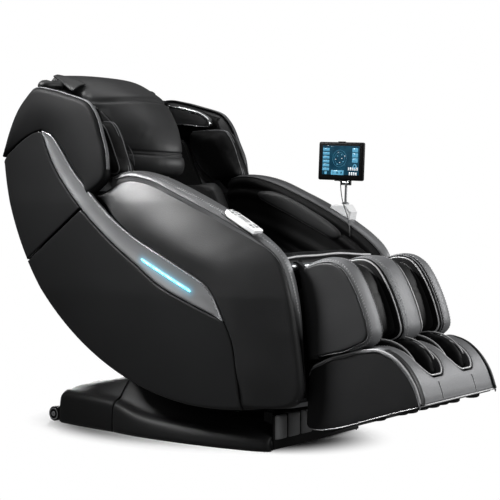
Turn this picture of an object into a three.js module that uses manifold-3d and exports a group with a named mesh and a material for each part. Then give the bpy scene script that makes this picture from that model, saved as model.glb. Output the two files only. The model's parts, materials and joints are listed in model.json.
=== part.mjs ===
// Massage chair: reclining cradle on a saddle base, with leg unit, foot unit and tablet.
// Millimetres, +Z up, the sitter faces -Y. R is the sitter's right (-X), L the left (+X).
import * as THREE from "three";
import { mergeVertices } from "three/addons/utils/BufferGeometryUtils.js";
import Module from "manifold-3d";

const wasm = await Module();
wasm.setup();

// Recline: the cradle turns about a virtual axis along X, on rails concentric with its belly.
const PIVOT_Y = -140;
const PIVOT_Z = 1000;
const BELLY_R = 880;
const BELLY_END = 57;
const SHELL_T = 12;
const RAIL_R = 893;
const RAIL_X = [135, 165];
const ROLLER_R = 20;
const ROLLER_AT = [-5, 22];
const REAR_END = 610;
const COVER_WALL = 4;
const CENTRE_SHIFT = 11.5;
const GAP = 1;
const SEAM = 2;

// Side walls: half width of the shell where it is widest, and how it draws in.
const HALF_WIDTH = 378;
const WIDEST_Y = 50;
const INNER_X = 264;
const FRAME_T = 18;

// Backrest: leans back from the vertical; s runs up the track, n points at the sitter.
const LEAN = THREE.MathUtils.degToRad(27);
const BACK_ORIGIN = [277, 806];
const CUSHION_BACK_N = -105;
const TRACK_N = -216;
const CARRIAGE_S = -120;

// Leg and foot units.
const LEG_HINGE = [-345, 535];
const LEG_TOP = [-366, 530];
const LEG_END = [-397, 275];
const CALF_X = 240;
const CHANNEL_X = [63, 165];
const FOOT_X = 230;
const WELL_X = 90;
const ROD_X = 200;
const ROD_R = 7;
const SHAFT_R = 10;

// Tablet on the left armrest.
const MAST = [300, -181];
const MAST_Z = 714;
const TABLET = [14, 172, 124];
const TABLET_SHIFT = 21;
const TABLET_UP = 69;
const CABLE_R = 1.6;
const TABLET_LEAN = THREE.MathUtils.degToRad(2.5);

const SHELL = [0x17181a, 0.36, 0.0];
const LEATHER = [0x141416, 0.5, 0.0];
const GREY_LEATHER = [0x515458, 0.42, 0.15];
const SILVER = [0x8f9296, 0.3, 0.7];
const STEEL = [0x8c9096, 0.35, 0.9];
const PLASTIC = [0x202224, 0.5, 0.0];
const WHITE = [0xe6e8ea, 0.3, 0.0];
const CYAN = [0x35c8f0, 0.3, 0.0];
const RUBBER = [0x1a1a1b, 0.8, 0.0];

function vec2(points) {
  return points.map(([a, b]) => new THREE.Vector2(a, b));
}

function spline(points, count) {
  const spaced = new THREE.SplineCurve(vec2(points)).getSpacedPoints(count);
  return spaced.map((p) => [p.x, p.y]);
}

function bellyPoint(radius, degrees) {
  const a = THREE.MathUtils.degToRad(degrees);
  return [PIVOT_Y + radius * Math.sin(a), PIVOT_Z - radius * Math.cos(a)];
}

function bellyArc(radius, from, to, count) {
  const steps = Array.from({ length: count + 1 }, (_, i) => from + ((to - from) * i) / count);
  return steps.map((degrees) => bellyPoint(radius, degrees));
}

function backPoint(s, n) {
  const y = BACK_ORIGIN[0] + s * Math.sin(LEAN) - n * Math.cos(LEAN);
  const z = BACK_ORIGIN[1] + s * Math.cos(LEAN) + n * Math.sin(LEAN);
  return [y, z];
}

function sideX(y, z) {
  const rear = Math.max(0, y - WIDEST_Y) / 700;
  const front = Math.max(0, WIDEST_Y - y) / 450;
  const high = Math.max(0, z - 720);
  const low = Math.max(0, 450 - z);
  return HALF_WIDTH - 30 * rear * rear - 65 * front * front - 0.05 * high - 0.1 * low;
}

// Turns an outline drawn in (y, z) and extruded along its own normal into the row frame.
function standUp(geometry) {
  return geometry.applyMatrix4(new THREE.Matrix4().set(0, 0, 1, 0, 1, 0, 0, 0, 0, 1, 0, 0, 0, 0, 0, 1));
}

function extrude(outline, depth, bevel, segments) {
  const shape = new THREE.Shape(vec2(outline));
  return new THREE.ExtrudeGeometry(shape, {
    depth: depth - 2 * bevel,
    bevelEnabled: bevel > 0,
    bevelThickness: bevel,
    bevelSize: bevel,
    bevelOffset: -bevel,
    bevelSegments: segments,
    curveSegments: 8,
    steps: 1,
  }).translate(0, 0, bevel);
}

function plateX(outline, x0, x1, bevel = 0, segments = 1) {
  return standUp(extrude(outline, x1 - x0, bevel, segments)).translate(x0, 0, 0);
}

function sidePlate(outline, side, inner, outer, bevel = 0, segments = 1) {
  const x0 = side > 0 ? inner : -outer;
  return plateX(outline, x0, x0 + outer - inner, bevel, segments);
}

function plateZ(outline, z0, z1, bevel = 0) {
  return extrude(outline, z1 - z0, bevel, 1).translate(0, 0, z0);
}

function box(x0, x1, y0, y1, z0, z1) {
  const geometry = new THREE.BoxGeometry(x1 - x0, y1 - y0, z1 - z0);
  return geometry.translate((x0 + x1) / 2, (y0 + y1) / 2, (z0 + z1) / 2);
}

function barX(radius, x0, x1, y, z, sides = 24) {
  const geometry = new THREE.CylinderGeometry(radius, radius, x1 - x0, sides);
  return geometry.rotateZ(-Math.PI / 2).translate((x0 + x1) / 2, y, z);
}

function toManifold(geometry) {
  const bare = geometry.clone();
  bare.deleteAttribute("normal");
  bare.deleteAttribute("uv");
  const welded = mergeVertices(bare, 1e-4);
  const vertProperties = new Float32Array(welded.attributes.position.array);
  const triVerts = new Uint32Array(welded.index.array);
  return new wasm.Manifold(new wasm.Mesh({ numProp: 3, vertProperties, triVerts }));
}

function fromManifold(solid) {
  const mesh = solid.getMesh();
  const geometry = new THREE.BufferGeometry();
  geometry.setAttribute("position", new THREE.BufferAttribute(mesh.vertProperties, 3));
  geometry.setIndex(new THREE.BufferAttribute(mesh.triVerts, 1));
  return geometry;
}

function join(...geometries) {
  return fromManifold(geometries.map(toManifold).reduce((a, b) => a.add(b)));
}

function cut(geometry, ...tools) {
  return fromManifold(tools.map(toManifold).reduce((a, b) => a.subtract(b), toManifold(geometry)));
}

function signedVolume(positions, index) {
  const at = (i) => new THREE.Vector3(...positions[i]);
  let sum = 0;
  for (let i = 0; i < index.length; i += 3) {
    sum += at(index[i]).dot(at(index[i + 1]).cross(at(index[i + 2])));
  }
  return sum / 6;
}

// Closed solid from stations: each is a ring of points, and the two end rings are capped flat.
function loft(rings) {
  const n = rings[0].length;
  const positions = rings.flat();
  const index = [];
  for (let r = 0; r + 1 < rings.length; r += 1) {
    for (let i = 0; i < n; i += 1) {
      const a = r * n + i;
      const b = r * n + ((i + 1) % n);
      index.push(a, b, b + n, a, b + n, a + n);
    }
  }
  const last = (rings.length - 1) * n;
  for (let i = 1; i + 1 < n; i += 1) {
    index.push(0, i + 1, i, last, last + i, last + i + 1);
  }
  if (signedVolume(positions, index) < 0) {
    for (let i = 0; i < index.length; i += 3) {
      [index[i], index[i + 1]] = [index[i + 1], index[i]];
    }
  }
  const geometry = new THREE.BufferGeometry();
  geometry.setAttribute("position", new THREE.Float32BufferAttribute(positions.flat(), 3));
  geometry.setIndex(index);
  return geometry;
}

function towards(from, to, distance) {
  const length = Math.hypot(to[0] - from[0], to[1] - from[1]);
  const k = distance / length;
  return [from[0] + (to[0] - from[0]) * k, from[1] + (to[1] - from[1]) * k];
}

// A curved side skin between two edges drawn in (y, z); it follows sideX and keeps a seam all round.
function skin(edgeA, edgeB, side, lift = 0, thickness = SHELL_T) {
  const count = edgeA.length - 1;
  const a = edgeA.map((p, i) => towards(p, edgeB[i], SEAM));
  const b = edgeB.map((p, i) => towards(p, edgeA[i], SEAM));
  for (const edge of [a, b]) {
    edge[0] = towards(edge[0], edge[1], SEAM);
    edge[count] = towards(edge[count], edge[count - 1], SEAM);
  }
  const point = ([y, z], inset) => [side * (sideX(y, z) + lift - inset), y, z];
  const middle = (p, q) => [(p[0] + q[0]) / 2, (p[1] + q[1]) / 2];
  const ring = (p, q) => {
    const m = middle(p, q);
    const outer = [point(p, 0), point(m, 0), point(q, 0)];
    return [...outer, point(q, thickness), point(m, thickness), point(p, thickness)];
  };
  return loft(a.map((p, i) => ring(p, b[i])));
}

// A skin that spans the full width and follows a path in (y, z), such as the belly.
function crossSkin(outer, inner) {
  const half = ([y, z]) => sideX(y, z) - SHELL_T - GAP;
  const ring = (p, q) => {
    const x = Math.min(half(p), half(q));
    return [[-x, ...p], [x, ...p], [x, ...q], [-x, ...q]];
  };
  return loft(outer.map((p, i) => ring(p, inner[i])));
}

const chair = new THREE.Group();
const base = new THREE.Group();
const cradle = new THREE.Group();
const massage = new THREE.Group();
const leg = new THREE.Group();
const foot = new THREE.Group();
const tablet = new THREE.Group();
chair.add(base, cradle);
chair.position.y = CENTRE_SHIFT;
cradle.add(massage, leg, tablet);
leg.add(foot);

function add(parent, name, geometry, [color, roughness, metalness]) {
  const mesh = new THREE.Mesh(geometry, new THREE.MeshStandardMaterial({ color, roughness, metalness }));
  mesh.name = name;
  parent.add(mesh);
  return mesh;
}

const SIDES = [["R", -1], ["L", 1]];

// Base.

// Each station of the two covers: y, half width, height of the skirt, height of the top.
const COVER_STATIONS = [
  [-262, 250, 44, 62], [-200, 266, 48, 82], [-80, 279, 52, 86],
  [60, 282, 56, 102], [200, 274, 66, 138], [330, 252, 98, 156],
];
const REAR_STATIONS = [[336, 250, 98, 156], [480, 228, 104, 140], [REAR_END, 206, 96, 112]];
const EAR_X = [174, 188];
const PIN_R = 8;
const WHEEL_R = 24;
const WHEEL_X = 186;

function coverSection([y, half, skirt, top], inset, bottom) {
  const w = half - inset;
  const shoulder = 0.68 * half - inset;
  const [s, t] = [skirt - inset, top - inset];
  return [[-w, y, bottom], [w, y, bottom], [w, y, s], [shoulder, y, t], [-shoulder, y, t], [-w, y, s]];
}

// Hollow cover, open underneath; front and rear say how far each end wall stands back, or -1 if open.
function cover(stations, front, rear) {
  const inner = stations.map((s) => coverSection(s, COVER_WALL, -10));
  inner[0].forEach((p) => { p[1] += front; });
  inner[inner.length - 1].forEach((p) => { p[1] -= rear; });
  return cut(loft(stations.map((s) => coverSection(s, 0, 0.5))), loft(inner));
}

function buildFrame(rollers) {
  const front = [[262, 60], [248, -240]];
  const rear = [[190, REAR_END - 6], [240, 330]];
  const right = [...rear, ...front];
  const footprint = [...right, ...right.map(([x, y]) => [-x, y]).reverse()];
  const ear = (side, [y, z]) => {
    const [x0, x1] = side > 0 ? EAR_X : [-EAR_X[1], -EAR_X[0]];
    return box(x0, x1, y - 15, y + 15, 5, z + 14);
  };
  const ears = rollers.flatMap((centre) => [ear(1, centre), ear(-1, centre)]);
  const bores = rollers.map(([y, z]) => barX(PIN_R + 0.4, -200, 200, y, z));
  add(base, "base_frame", cut(join(plateZ(footprint, 0, 12), ...ears), ...bores), STEEL);
}

function buildGuideRollers(rollers) {
  rollers.forEach(([y, z], i) => {
    const roller = join(barX(ROLLER_R, -172, 172, 0, 0), barX(PIN_R, -188, 188, 0, 0));
    add(base, i === 0 ? "guide_roller_front" : "guide_roller_rear", roller, RUBBER).position.set(0, y, z);
  });
}

function buildCovers(rollers) {
  const windows = rollers.map(([y]) => box(-194, 194, y - 27, y + 27, 30, 200));
  add(base, "base_cover", cut(cover(COVER_STATIONS, COVER_WALL, -1), ...windows), PLASTIC);
  add(base, "rear_base_cover", cover(REAR_STATIONS, -1, COVER_WALL), PLASTIC);
}

// One plate with seven raised slats across the front of the base.
function buildSlats() {
  const count = 7;
  const [pitch, width] = [66.8, 55];
  const [back, face, raised] = [-265, -274, -282];
  const edge = 232;
  const outline = [[edge, back], [edge, face]];
  for (let i = count - 1; i >= 0; i -= 1) {
    const x = -228 + i * pitch;
    outline.push([x + width, face], [x + width, raised], [x, raised], [x, face]);
  }
  outline.push([-edge, face], [-edge, back]);
  add(base, "front_slats", plateZ(outline, 6, 104), GREY_LEATHER);
}

function buildRearFittings() {
  const socket = cut(box(-17, 17, 1, 21, 46, 72), box(-12, 12, 9, 28, 51, 67));
  add(base, "power_inlet", socket.translate(-90, REAR_END, 0), PLASTIC);
  const rocker = cut(barX(7, -8, 8, 0, 0), box(-9, 9, -8, -4, -8, 8));
  add(base, "power_switch", rocker, PLASTIC).position.set(-130, REAR_END + 6.5, 59);
  for (const [name, side] of SIDES) {
    const wheel = join(barX(WHEEL_R, -9, 9, 0, 0), barX(9, -12, 12, 0, 0));
    const mesh = add(base, `transport_wheel_${name}`, wheel, RUBBER);
    mesh.position.set(side * WHEEL_X, REAR_END + 29, WHEEL_R + 0.4);
  }
}

function buildBase() {
  const rollers = ROLLER_AT.map((degrees) => bellyPoint(RAIL_R + ROLLER_R + 0.5, degrees));
  buildFrame(rollers);
  buildGuideRollers(rollers);
  buildCovers(rollers);
  buildSlats();
  buildRearFittings();
}

// Cradle shell.

// Outlines are drawn in (y, z) at the chair's centre plane and then follow the side wall's curve.
const BACK_TOP = [[728, 860], [716, 905], [696, 958], [664, 1015], [622, 1058], [576, 1086]];
const BACK_CORE = [560, 930];
const STRIP_LOW = [[541, 939], [470, 816], [361, 704], [218, 591], [43, 473], [-172, 376]];
const STRIP_UP = [[545, 952], [449, 885], [302, 738], [135, 616], [-47, 526], [-150, 446]];
const QUARTER_IN = [[380, 722], [470, 816], [541, 930]];
const SHOULDER = [
  [690, 880], [664, 1012], [582, 1080], [437, 1054],
  [334, 1012], [284, 926], [258, 822], [306, 748],
];
const ARM_TOP = [
  [292, 752], [175, 797], [-9, 741], [-201, 652],
  [-322, 585], [-377, 429], [-396, 230], [-398, 168],
];
const ARM_SEAM = [[-174, 372], [-209, 231], [-214, 140]];
const BAND = [
  [228, 798], [170, 803], [76, 782], [-9, 745], [-115, 698], [-201, 655],
  [-290, 597], [-348, 530], [-374, 440], [-384, 330], [-386, 180],
];
const BAND_DEPTH = 24;
const LED = [[106, 549.5], [-74, 461.5]];
const LED_WIDTH = 10;

function buildShell() {
  const belly = bellyArc(BELLY_R, -16, BELLY_END, 16);
  add(cradle, "belly_shell", crossSkin(belly, bellyArc(BELLY_R - SHELL_T, -16, BELLY_END, 16)), SHELL);
  const top = spline(BACK_TOP, 6);
  const topInner = top.map((p) => towards(p, BACK_CORE, SHELL_T));
  const outer = [...bellyArc(BELLY_R, BELLY_END + 0.3, 79, 6), ...top];
  const inner = [...bellyArc(BELLY_R - SHELL_T, BELLY_END + 0.3, 79, 6), ...topInner];
  add(cradle, "back_shell", crossSkin(outer, inner), SHELL);
  for (const [name, side] of SIDES) {
    const rail = [...bellyArc(RAIL_R, -14, 54, 17), ...bellyArc(BELLY_R + GAP, 54, -14, 17)];
    add(cradle, `guide_rail_${name}`, sidePlate(rail, side, ...RAIL_X), STEEL);
    buildSide(name, side);
  }
}

function buildLightBar(name, side) {
  const [[y0, z0], [y1, z1]] = LED;
  const length = Math.hypot(y1 - y0, z1 - z0);
  const across = [(LED_WIDTH / 2) * ((z0 - z1) / length), (LED_WIDTH / 2) * ((y1 - y0) / length)];
  const edge = (sign) => Array.from({ length: 5 }, (_, i) => [
    y0 + ((y1 - y0) * i) / 4 + sign * across[0],
    z0 + ((z1 - z0) * i) / 4 + sign * across[1],
  ]);
  add(cradle, `led_bar_${name}`, skin(edge(-1), edge(1), side, 6, 3), CYAN);
}

function buildPanels(name, side) {
  const low = spline(STRIP_LOW, 16);
  const up = spline(STRIP_UP, 16);
  add(cradle, `trim_strip_${name}`, skin(up, low, side), SILVER);

  const lowerTop = low.filter(([y]) => y < 380);
  const lowerFoot = bellyArc(BELLY_R - 6, BELLY_END, -4, lowerTop.length - 1);
  add(cradle, `lower_panel_${name}`, skin(lowerTop, lowerFoot, side), SHELL);

  const quarterOut = [...bellyArc(BELLY_R - 6, BELLY_END + 1, 78, 4), [714, 868]];
  const quarterIn = [...spline(QUARTER_IN, 4), [552, 938]];
  add(cradle, `quarter_panel_${name}`, skin(quarterOut, quarterIn, side), SHELL);

  const shoulderIn = [[616, 926], [575, 942], ...up.filter(([y]) => y > 310)];
  const shoulderOut = spline(SHOULDER, shoulderIn.length - 1);
  add(cradle, `shoulder_panel_${name}`, skin(shoulderOut, shoulderIn, side), SHELL);

  const armIn = [...up.filter(([y]) => y < 290), ...ARM_SEAM];
  const armOut = spline(ARM_TOP, armIn.length - 1);
  add(cradle, `arm_panel_${name}`, skin(armOut, armIn, side), LEATHER);
}

// The padded band over the armrest, from the side frame out to the arm panel.
function buildBand(name, side) {
  const path = spline(BAND, 16);
  const under = path.map((p) => towards(p, [60, 300], BAND_DEPTH));
  const outerX = ([y, z]) => sideX(y, z) - SHELL_T - 4;
  const inner = side * (INNER_X - 2);
  const rings = path.map((p, i) => {
    const q = under[i];
    const outer = side * Math.min(outerX(p), outerX(q));
    return [[inner, ...p], [outer, ...p], [outer, ...q], [inner, ...q]];
  });
  add(cradle, `arm_band_${name}`, loft(rings), GREY_LEATHER);
}

function buildSideFrame(name, side) {
  const frame = [
    [-345, 440], [-322, 500], [-262, 565], [-180, 612], [0, 700], [90, 738], [225, 755],
    backPoint(0, -112), backPoint(195, -112), [540, 975], [630, 970], [684, 880],
    ...bellyArc(BELLY_R - 20, 77, -12, 12), [-352, 230],
  ];
  add(cradle, `side_frame_${name}`, sidePlate(frame, side, INNER_X, INNER_X + FRAME_T), LEATHER);
}

function buildInnerPads(name, side) {
  const pad = [
    [139, 735], [110, 757], [49, 752], [-70, 702], [-166, 644],
    [-189, 612], [-160, 598], [-109, 612], [9, 668], [125, 720],
  ];
  add(cradle, `arm_pad_${name}`, sidePlate(pad, side, 247, 261, 5), GREY_LEATHER);
  const wing = [[302, 968], [262, 915], [240, 860], [229, 820], [250, 802], [345, 804], [436, 968]];
  add(cradle, `wing_pad_${name}`, sidePlate(wing, side, 260, 330, 12, 2), LEATHER);
  const speaker = [[566, 1066], [470, 1046], [408, 1012], [382, 986], [538, 1000]];
  add(cradle, `speaker_${name}`, sidePlate(speaker, side, 256, 276, 3), SILVER);
}

function buildSide(name, side) {
  buildPanels(name, side);
  buildLightBar(name, side);
  buildBand(name, side);
  buildSideFrame(name, side);
  buildInnerPads(name, side);
}

// Seat, back and head cushions.

function buildCushions() {
  const seat = [
    [-318, 545], [-308, 562], [-286, 569], [-150, 550], [0, 512], [92, 482],
    [106, 466], [98, 410], [-150, 462], [-300, 486], [-318, 500],
  ];
  add(cradle, "seat_cushion", plateX(seat, -246, 246, 10, 2), LEATHER);
  const back = [
    [-352, CUSHION_BACK_N], [-356, -24], [-338, -3], [-180, 8],
    [-60, 6], [-12, -4], [-4, -20], [-4, CUSHION_BACK_N],
  ];
  add(cradle, "back_cushion", plateX(back.map(([s, n]) => backPoint(s, n)), -226, 226, 10, 2), LEATHER);
  const front = spline([
    [288, 818], [284, 866], [322, 955], [376, 1026],
    [440, 1082], [520, 1124], [600, 1140], [650, 1132],
  ], 12);
  const rear = [
    [668, 1104], [655, 1086], [612, 1098], [578, 1104], [556, 1078],
    backPoint(222, CUSHION_BACK_N), backPoint(4, CUSHION_BACK_N), [330, 792],
  ];
  add(cradle, "head_pillow", plateX([...front, ...rear], -192, 192, 12, 2), GREY_LEATHER);
}

// Massage mechanism on the straight track behind the back cushion.

function backFrame(parent) {
  const group = new THREE.Group();
  group.rotation.x = -LEAN;
  group.position.set(0, BACK_ORIGIN[0], BACK_ORIGIN[1]);
  parent.add(group);
  return group;
}

function buildTrack() {
  const right = [[258, 6], [258, 0], [130, 0], [130, -24], [108, -24], [108, 0]];
  const section = [...right, ...right.map(([x, n]) => [-x, n]).reverse()];
  const track = plateZ(section.map(([x, n]) => [x, n - TRACK_N]), -370, 195);
  add(backFrame(cradle), "track_plate", track, STEEL);
}

function buildMassage() {
  const group = backFrame(massage);
  const [near, far] = [163, -TRACK_N - 0.6];
  const [low, high] = [CARRIAGE_S - 45, CARRIAGE_S + 45];
  const block = box(-107.4, 107.4, near, far, low, high);
  const recess = box(-76, 76, near - 1, near + 14, low - 5, high + 5);
  add(group, "massage_carriage", cut(block, recess), STEEL);
  const ballHalf = [[0, -16], [16, -16], [27, -9], [30, 0], [27, 9], [16, 16], [0, 16]];
  for (const [name, side] of SIDES) {
    const arm = join(barX(12, -7, 7, 0, 0), barX(10, -7, 7, 8, 80), box(-7, 7, -3, 12, 0, 80));
    add(group, `knead_arm_${name}`, arm, STEEL).position.set(side * 62, 150, CARRIAGE_S);
    const ball = new THREE.LatheGeometry(vec2(ballHalf), 20);
    ball.rotateZ(Math.PI / 2);
    add(group, `knead_roller_${name}`, ball, RUBBER).position.set(side * 88, 158, CARRIAGE_S + 80);
  }
}

// Leg unit: back plate on a shaft, with three walls that leave a channel for each calf.

function legPoint(t, forward) {
  const length = Math.hypot(LEG_END[0] - LEG_TOP[0], LEG_END[1] - LEG_TOP[1]);
  const d = [(LEG_END[0] - LEG_TOP[0]) / length, (LEG_END[1] - LEG_TOP[1]) / length];
  return [LEG_TOP[0] + d[0] * t + d[1] * forward, LEG_TOP[1] + d[1] * t - d[0] * forward];
}

function legRod(radius, x, from, to, sides) {
  const [y0, z0] = legPoint(from, 15);
  const [y1, z1] = legPoint(to, 15);
  const geometry = new THREE.CylinderGeometry(radius, radius, to - from, sides);
  const tilt = Math.atan2(y1 - y0, z1 - z0);
  return geometry.rotateX(Math.PI / 2 - tilt).translate(x, (y0 + y1) / 2, (z0 + z1) / 2);
}

function buildLegPlate() {
  const slab = [legPoint(0, 0), legPoint(257, 0), legPoint(257, 30), legPoint(0, 30)];
  const plate = plateX(slab, -CALF_X, CALF_X);
  const lug = [[-332, 528], [-332, 542], [-340, 550], [-352, 549], [-380, 530], [-380, 500], [-345, 522]];
  const lugs = SIDES.map(([, side]) => sidePlate(lug, side, 214, 232));
  const bores = SIDES.map(([, side]) => legRod(ROD_R + 0.8, side * ROD_X, -60, 320, 16));
  const shaftBore = barX(SHAFT_R + 0.7, -300, 300, ...LEG_HINGE);
  add(leg, "calf_back", cut(join(plate, ...lugs), ...bores, shaftBore), LEATHER);
}

function buildCalfWalls() {
  const rim = spline([
    [-398, 538], [-440, 552], [-484, 552], [-520, 526],
    [-553, 476], [-582, 412], [-596, 362], [-586, 343],
  ], 10);
  const wall = [legPoint(2, 31), ...rim, [-558, 325], [-510, 304], legPoint(252, 31)];
  const [middle, side] = CHANNEL_X;
  for (const [name, x0, x1] of [["R", -CALF_X, -side], ["C", -middle, middle], ["L", side, CALF_X]]) {
    add(leg, `calf_wall_${name}`, plateX(wall, x0, x1, 8), GREY_LEATHER);
  }
}

function buildLeg() {
  add(cradle, "leg_shaft", barX(SHAFT_R, -261, 261, ...LEG_HINGE), STEEL);
  buildLegPlate();
  buildCalfWalls();
}

// Foot unit: a tray on two rods that slide in the leg unit, with a toe cover around two wells.

function buildFootFrame() {
  const tray = [
    [-460, 73], [-590, 118], [-684, 149], [-734, 163], [-724, 190],
    [-681, 178], [-586, 148], [-452, 103], [-424, 98], [-434, 70],
  ];
  const rods = SIDES.map(([, side]) => legRod(ROD_R, side * ROD_X, 60, 436, 16));
  add(foot, "foot_frame", join(plateX(tray, -218, 218), ...rods), STEEL);
}

// Cutter for one foot well: its outline from above, round at the toes.
function footWell(side) {
  const half = [[60, -360], [60, -682], [48, -708], [24, -716]];
  const outline = [...half, ...half.map(([x, y]) => [-x, y]).reverse()];
  return plateZ(outline.map(([x, y]) => [side * (WELL_X + x), y]), 60, 400);
}

function buildFootShell() {
  const top = spline([
    [-396, 248], [-460, 278], [-526, 298], [-606, 308],
    [-656, 296], [-704, 258], [-736, 210], [-751, 168],
  ], 10);
  const under = [
    [-738, 165], [-726, 192], [-681, 180], [-586, 150],
    [-452, 105], [-426, 101], [-386, 96], [-384, 150],
  ];
  const solid = plateX([...top, ...under], -FOOT_X, FOOT_X);
  const sockets = SIDES.map(([, side]) => legRod(ROD_R + 0.4, side * ROD_X, 200, 460, 16));
  add(foot, "foot_shell", cut(solid, footWell(1), footWell(-1), ...sockets), GREY_LEATHER);
}

function buildFootRollers() {
  for (const [name, side] of SIDES) {
    const roller = add(foot, `foot_roller_${name}`, barX(17, -50, 50, 0, 0, 20), RUBBER);
    roller.position.set(side * WELL_X, -560, 160);
  }
}

// Armrest controls and the tablet.

function buildControls() {
  const pod = new THREE.Group();
  pod.position.set(-304, -207, 653);
  pod.rotation.x = THREE.MathUtils.degToRad(29);
  cradle.add(pod);
  const button = [[-9, -16], [9, -16], [9, 16], [-9, 16]];
  const well = plateZ(button.map(([x, y]) => [x * 1.06, y * 1.04]), 12, 30);
  const outline = [[-20, -62], [20, -62], [24, -30], [24, 40], [14, 60], [-14, 60], [-24, 40], [-24, -30]];
  add(pod, "control_pod", cut(plateZ(outline, 4, 20, 3), well), WHITE);
  add(pod, "pod_button", plateZ(button, 14, 22, 1), PLASTIC);
}

function buildMast() {
  const holder = [[-134, 703], [-140, MAST_Z - 1], [-196, MAST_Z - 1], [-214, 690], [-208, 664]];
  add(cradle, "tablet_holder", plateX(holder, 278, 322, 3), WHITE);
  const profile = [[0, 0], [12, 0], [12, 5], [4, 8], [4, TABLET_UP], [0, TABLET_UP]];
  const stem = new THREE.LatheGeometry(vec2(profile), 16).rotateX(Math.PI / 2);
  const knuckle = new THREE.CylinderGeometry(7, 7, 25, 20).translate(0, 0, TABLET_UP);
  add(tablet, "tablet_mast", join(stem, knuckle), STEEL);
}

function buildHousing() {
  const [depth, width, height] = TABLET;
  const bottom = 8;
  const [y0, y1] = [TABLET_SHIFT - width / 2, TABLET_SHIFT + width / 2];
  const outline = [[y0, bottom], [y1, bottom], [y1, bottom + height], [y0, bottom + height]];
  const housing = plateX(outline, -depth / 2, depth / 2, 3);
  const lugs = [-1, 1].map((k) => box(-5, 5, k * 15.5 - 2, k * 15.5 + 2, -6, bottom + 4));
  add(tablet, "tablet_housing", join(housing, ...lugs), PLASTIC).position.set(0, 0, TABLET_UP);
}

function buildCable() {
  const route = [
    [300, -163, 788], [299, -164, 765], [290, -174, 735], [275, -190, 710],
    [264, -211, 676], [254, -225, 640], [252, -228, 612],
  ];
  const line = new THREE.CatmullRomCurve3(route.map((p) => new THREE.Vector3(...p)));
  const turn = (i) => (i * Math.PI) / 4;
  const spoke = (i) => [CABLE_R * Math.cos(turn(i)), CABLE_R * Math.sin(turn(i))];
  const ring = Array.from({ length: 8 }, (_, i) => spoke(i));
  const settings = { steps: 26, bevelEnabled: false, extrudePath: line };
  add(cradle, "tablet_cable", new THREE.ExtrudeGeometry(new THREE.Shape(vec2(ring)), settings), WHITE);
}

function buildTablet() {
  tablet.position.set(...MAST, MAST_Z);
  tablet.rotation.x = TABLET_LEAN;
  buildMast();
  buildHousing();
  buildCable();
}

buildBase();
buildShell();
buildCushions();
buildTrack();
buildMassage();
buildLeg();
buildFootFrame();
buildFootShell();
buildFootRollers();
buildControls();
buildTablet();

export default chair;
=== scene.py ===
"""Massage chair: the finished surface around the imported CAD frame. Metres, +Z up, the sitter faces -Y."""

import json
import math

import bmesh
import bpy
import numpy as np
from mathutils import Matrix, Vector


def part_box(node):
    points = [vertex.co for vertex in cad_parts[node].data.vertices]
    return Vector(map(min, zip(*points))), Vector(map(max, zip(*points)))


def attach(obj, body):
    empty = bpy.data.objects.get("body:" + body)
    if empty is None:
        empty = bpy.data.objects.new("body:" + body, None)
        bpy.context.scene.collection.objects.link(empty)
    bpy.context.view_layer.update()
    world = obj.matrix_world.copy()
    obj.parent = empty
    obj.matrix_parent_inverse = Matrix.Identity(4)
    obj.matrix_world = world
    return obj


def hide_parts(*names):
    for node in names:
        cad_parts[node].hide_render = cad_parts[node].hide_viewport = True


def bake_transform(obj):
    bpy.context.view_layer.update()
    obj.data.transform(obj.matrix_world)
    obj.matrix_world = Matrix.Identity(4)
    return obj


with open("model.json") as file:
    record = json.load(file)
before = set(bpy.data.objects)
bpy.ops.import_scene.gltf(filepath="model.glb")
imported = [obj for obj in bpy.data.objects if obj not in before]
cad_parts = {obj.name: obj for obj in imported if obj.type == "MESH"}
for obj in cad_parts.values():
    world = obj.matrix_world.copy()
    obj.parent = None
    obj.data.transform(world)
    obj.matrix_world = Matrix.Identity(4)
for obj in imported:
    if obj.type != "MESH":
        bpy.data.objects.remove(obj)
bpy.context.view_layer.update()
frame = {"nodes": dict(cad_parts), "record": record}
NODES = frame["nodes"]
JOINTS = {j["name"]: j for j in frame["record"]["behaviour"]["joints"]}

# The sections below are drawn about the recline centre's own place; SHIFT moves them to the row frame.
PIVOT_Y = -0.140
PIVOT_Z = 1.000
BELLY_R = 0.880
SHIFT = JOINTS["cradle_recline"]["pos_m"][1] - PIVOT_Y
HALF_WIDTH = 0.378  # at its widest, WIDEST_Y
WIDEST_Y = 0.050
INNER_X = 0.262  # inner face of the armrests
SIDES = (("R", -1), ("L", 1))
SKIN = 0.010  # thickness of the shell's panels
SEAM_GAP = 0.001


def new_object(name, data):
    made = bpy.data.objects.new(name, data)
    bpy.context.scene.collection.objects.link(made)
    return made


# Camera: level, turned about the vertical, with its picture slid down instead of a tilt.

CAMERA_PLACE = (-3.408, -2.493 + SHIFT, 0.707)
CAMERA_TURN = math.radians(-54)
CAMERA_LENS_MM = 96.9
CAMERA_SLIDE = -0.087


def make_camera():
    data = bpy.data.cameras.new("camera")
    data.lens = CAMERA_LENS_MM
    data.sensor_width = 36
    data.shift_y = CAMERA_SLIDE
    data.clip_end = 50
    camera = new_object("camera", data)
    camera.location = CAMERA_PLACE
    camera.rotation_euler = (math.radians(90), 0, CAMERA_TURN)
    bpy.context.scene.camera = camera


make_camera()


# Materials.

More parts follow.
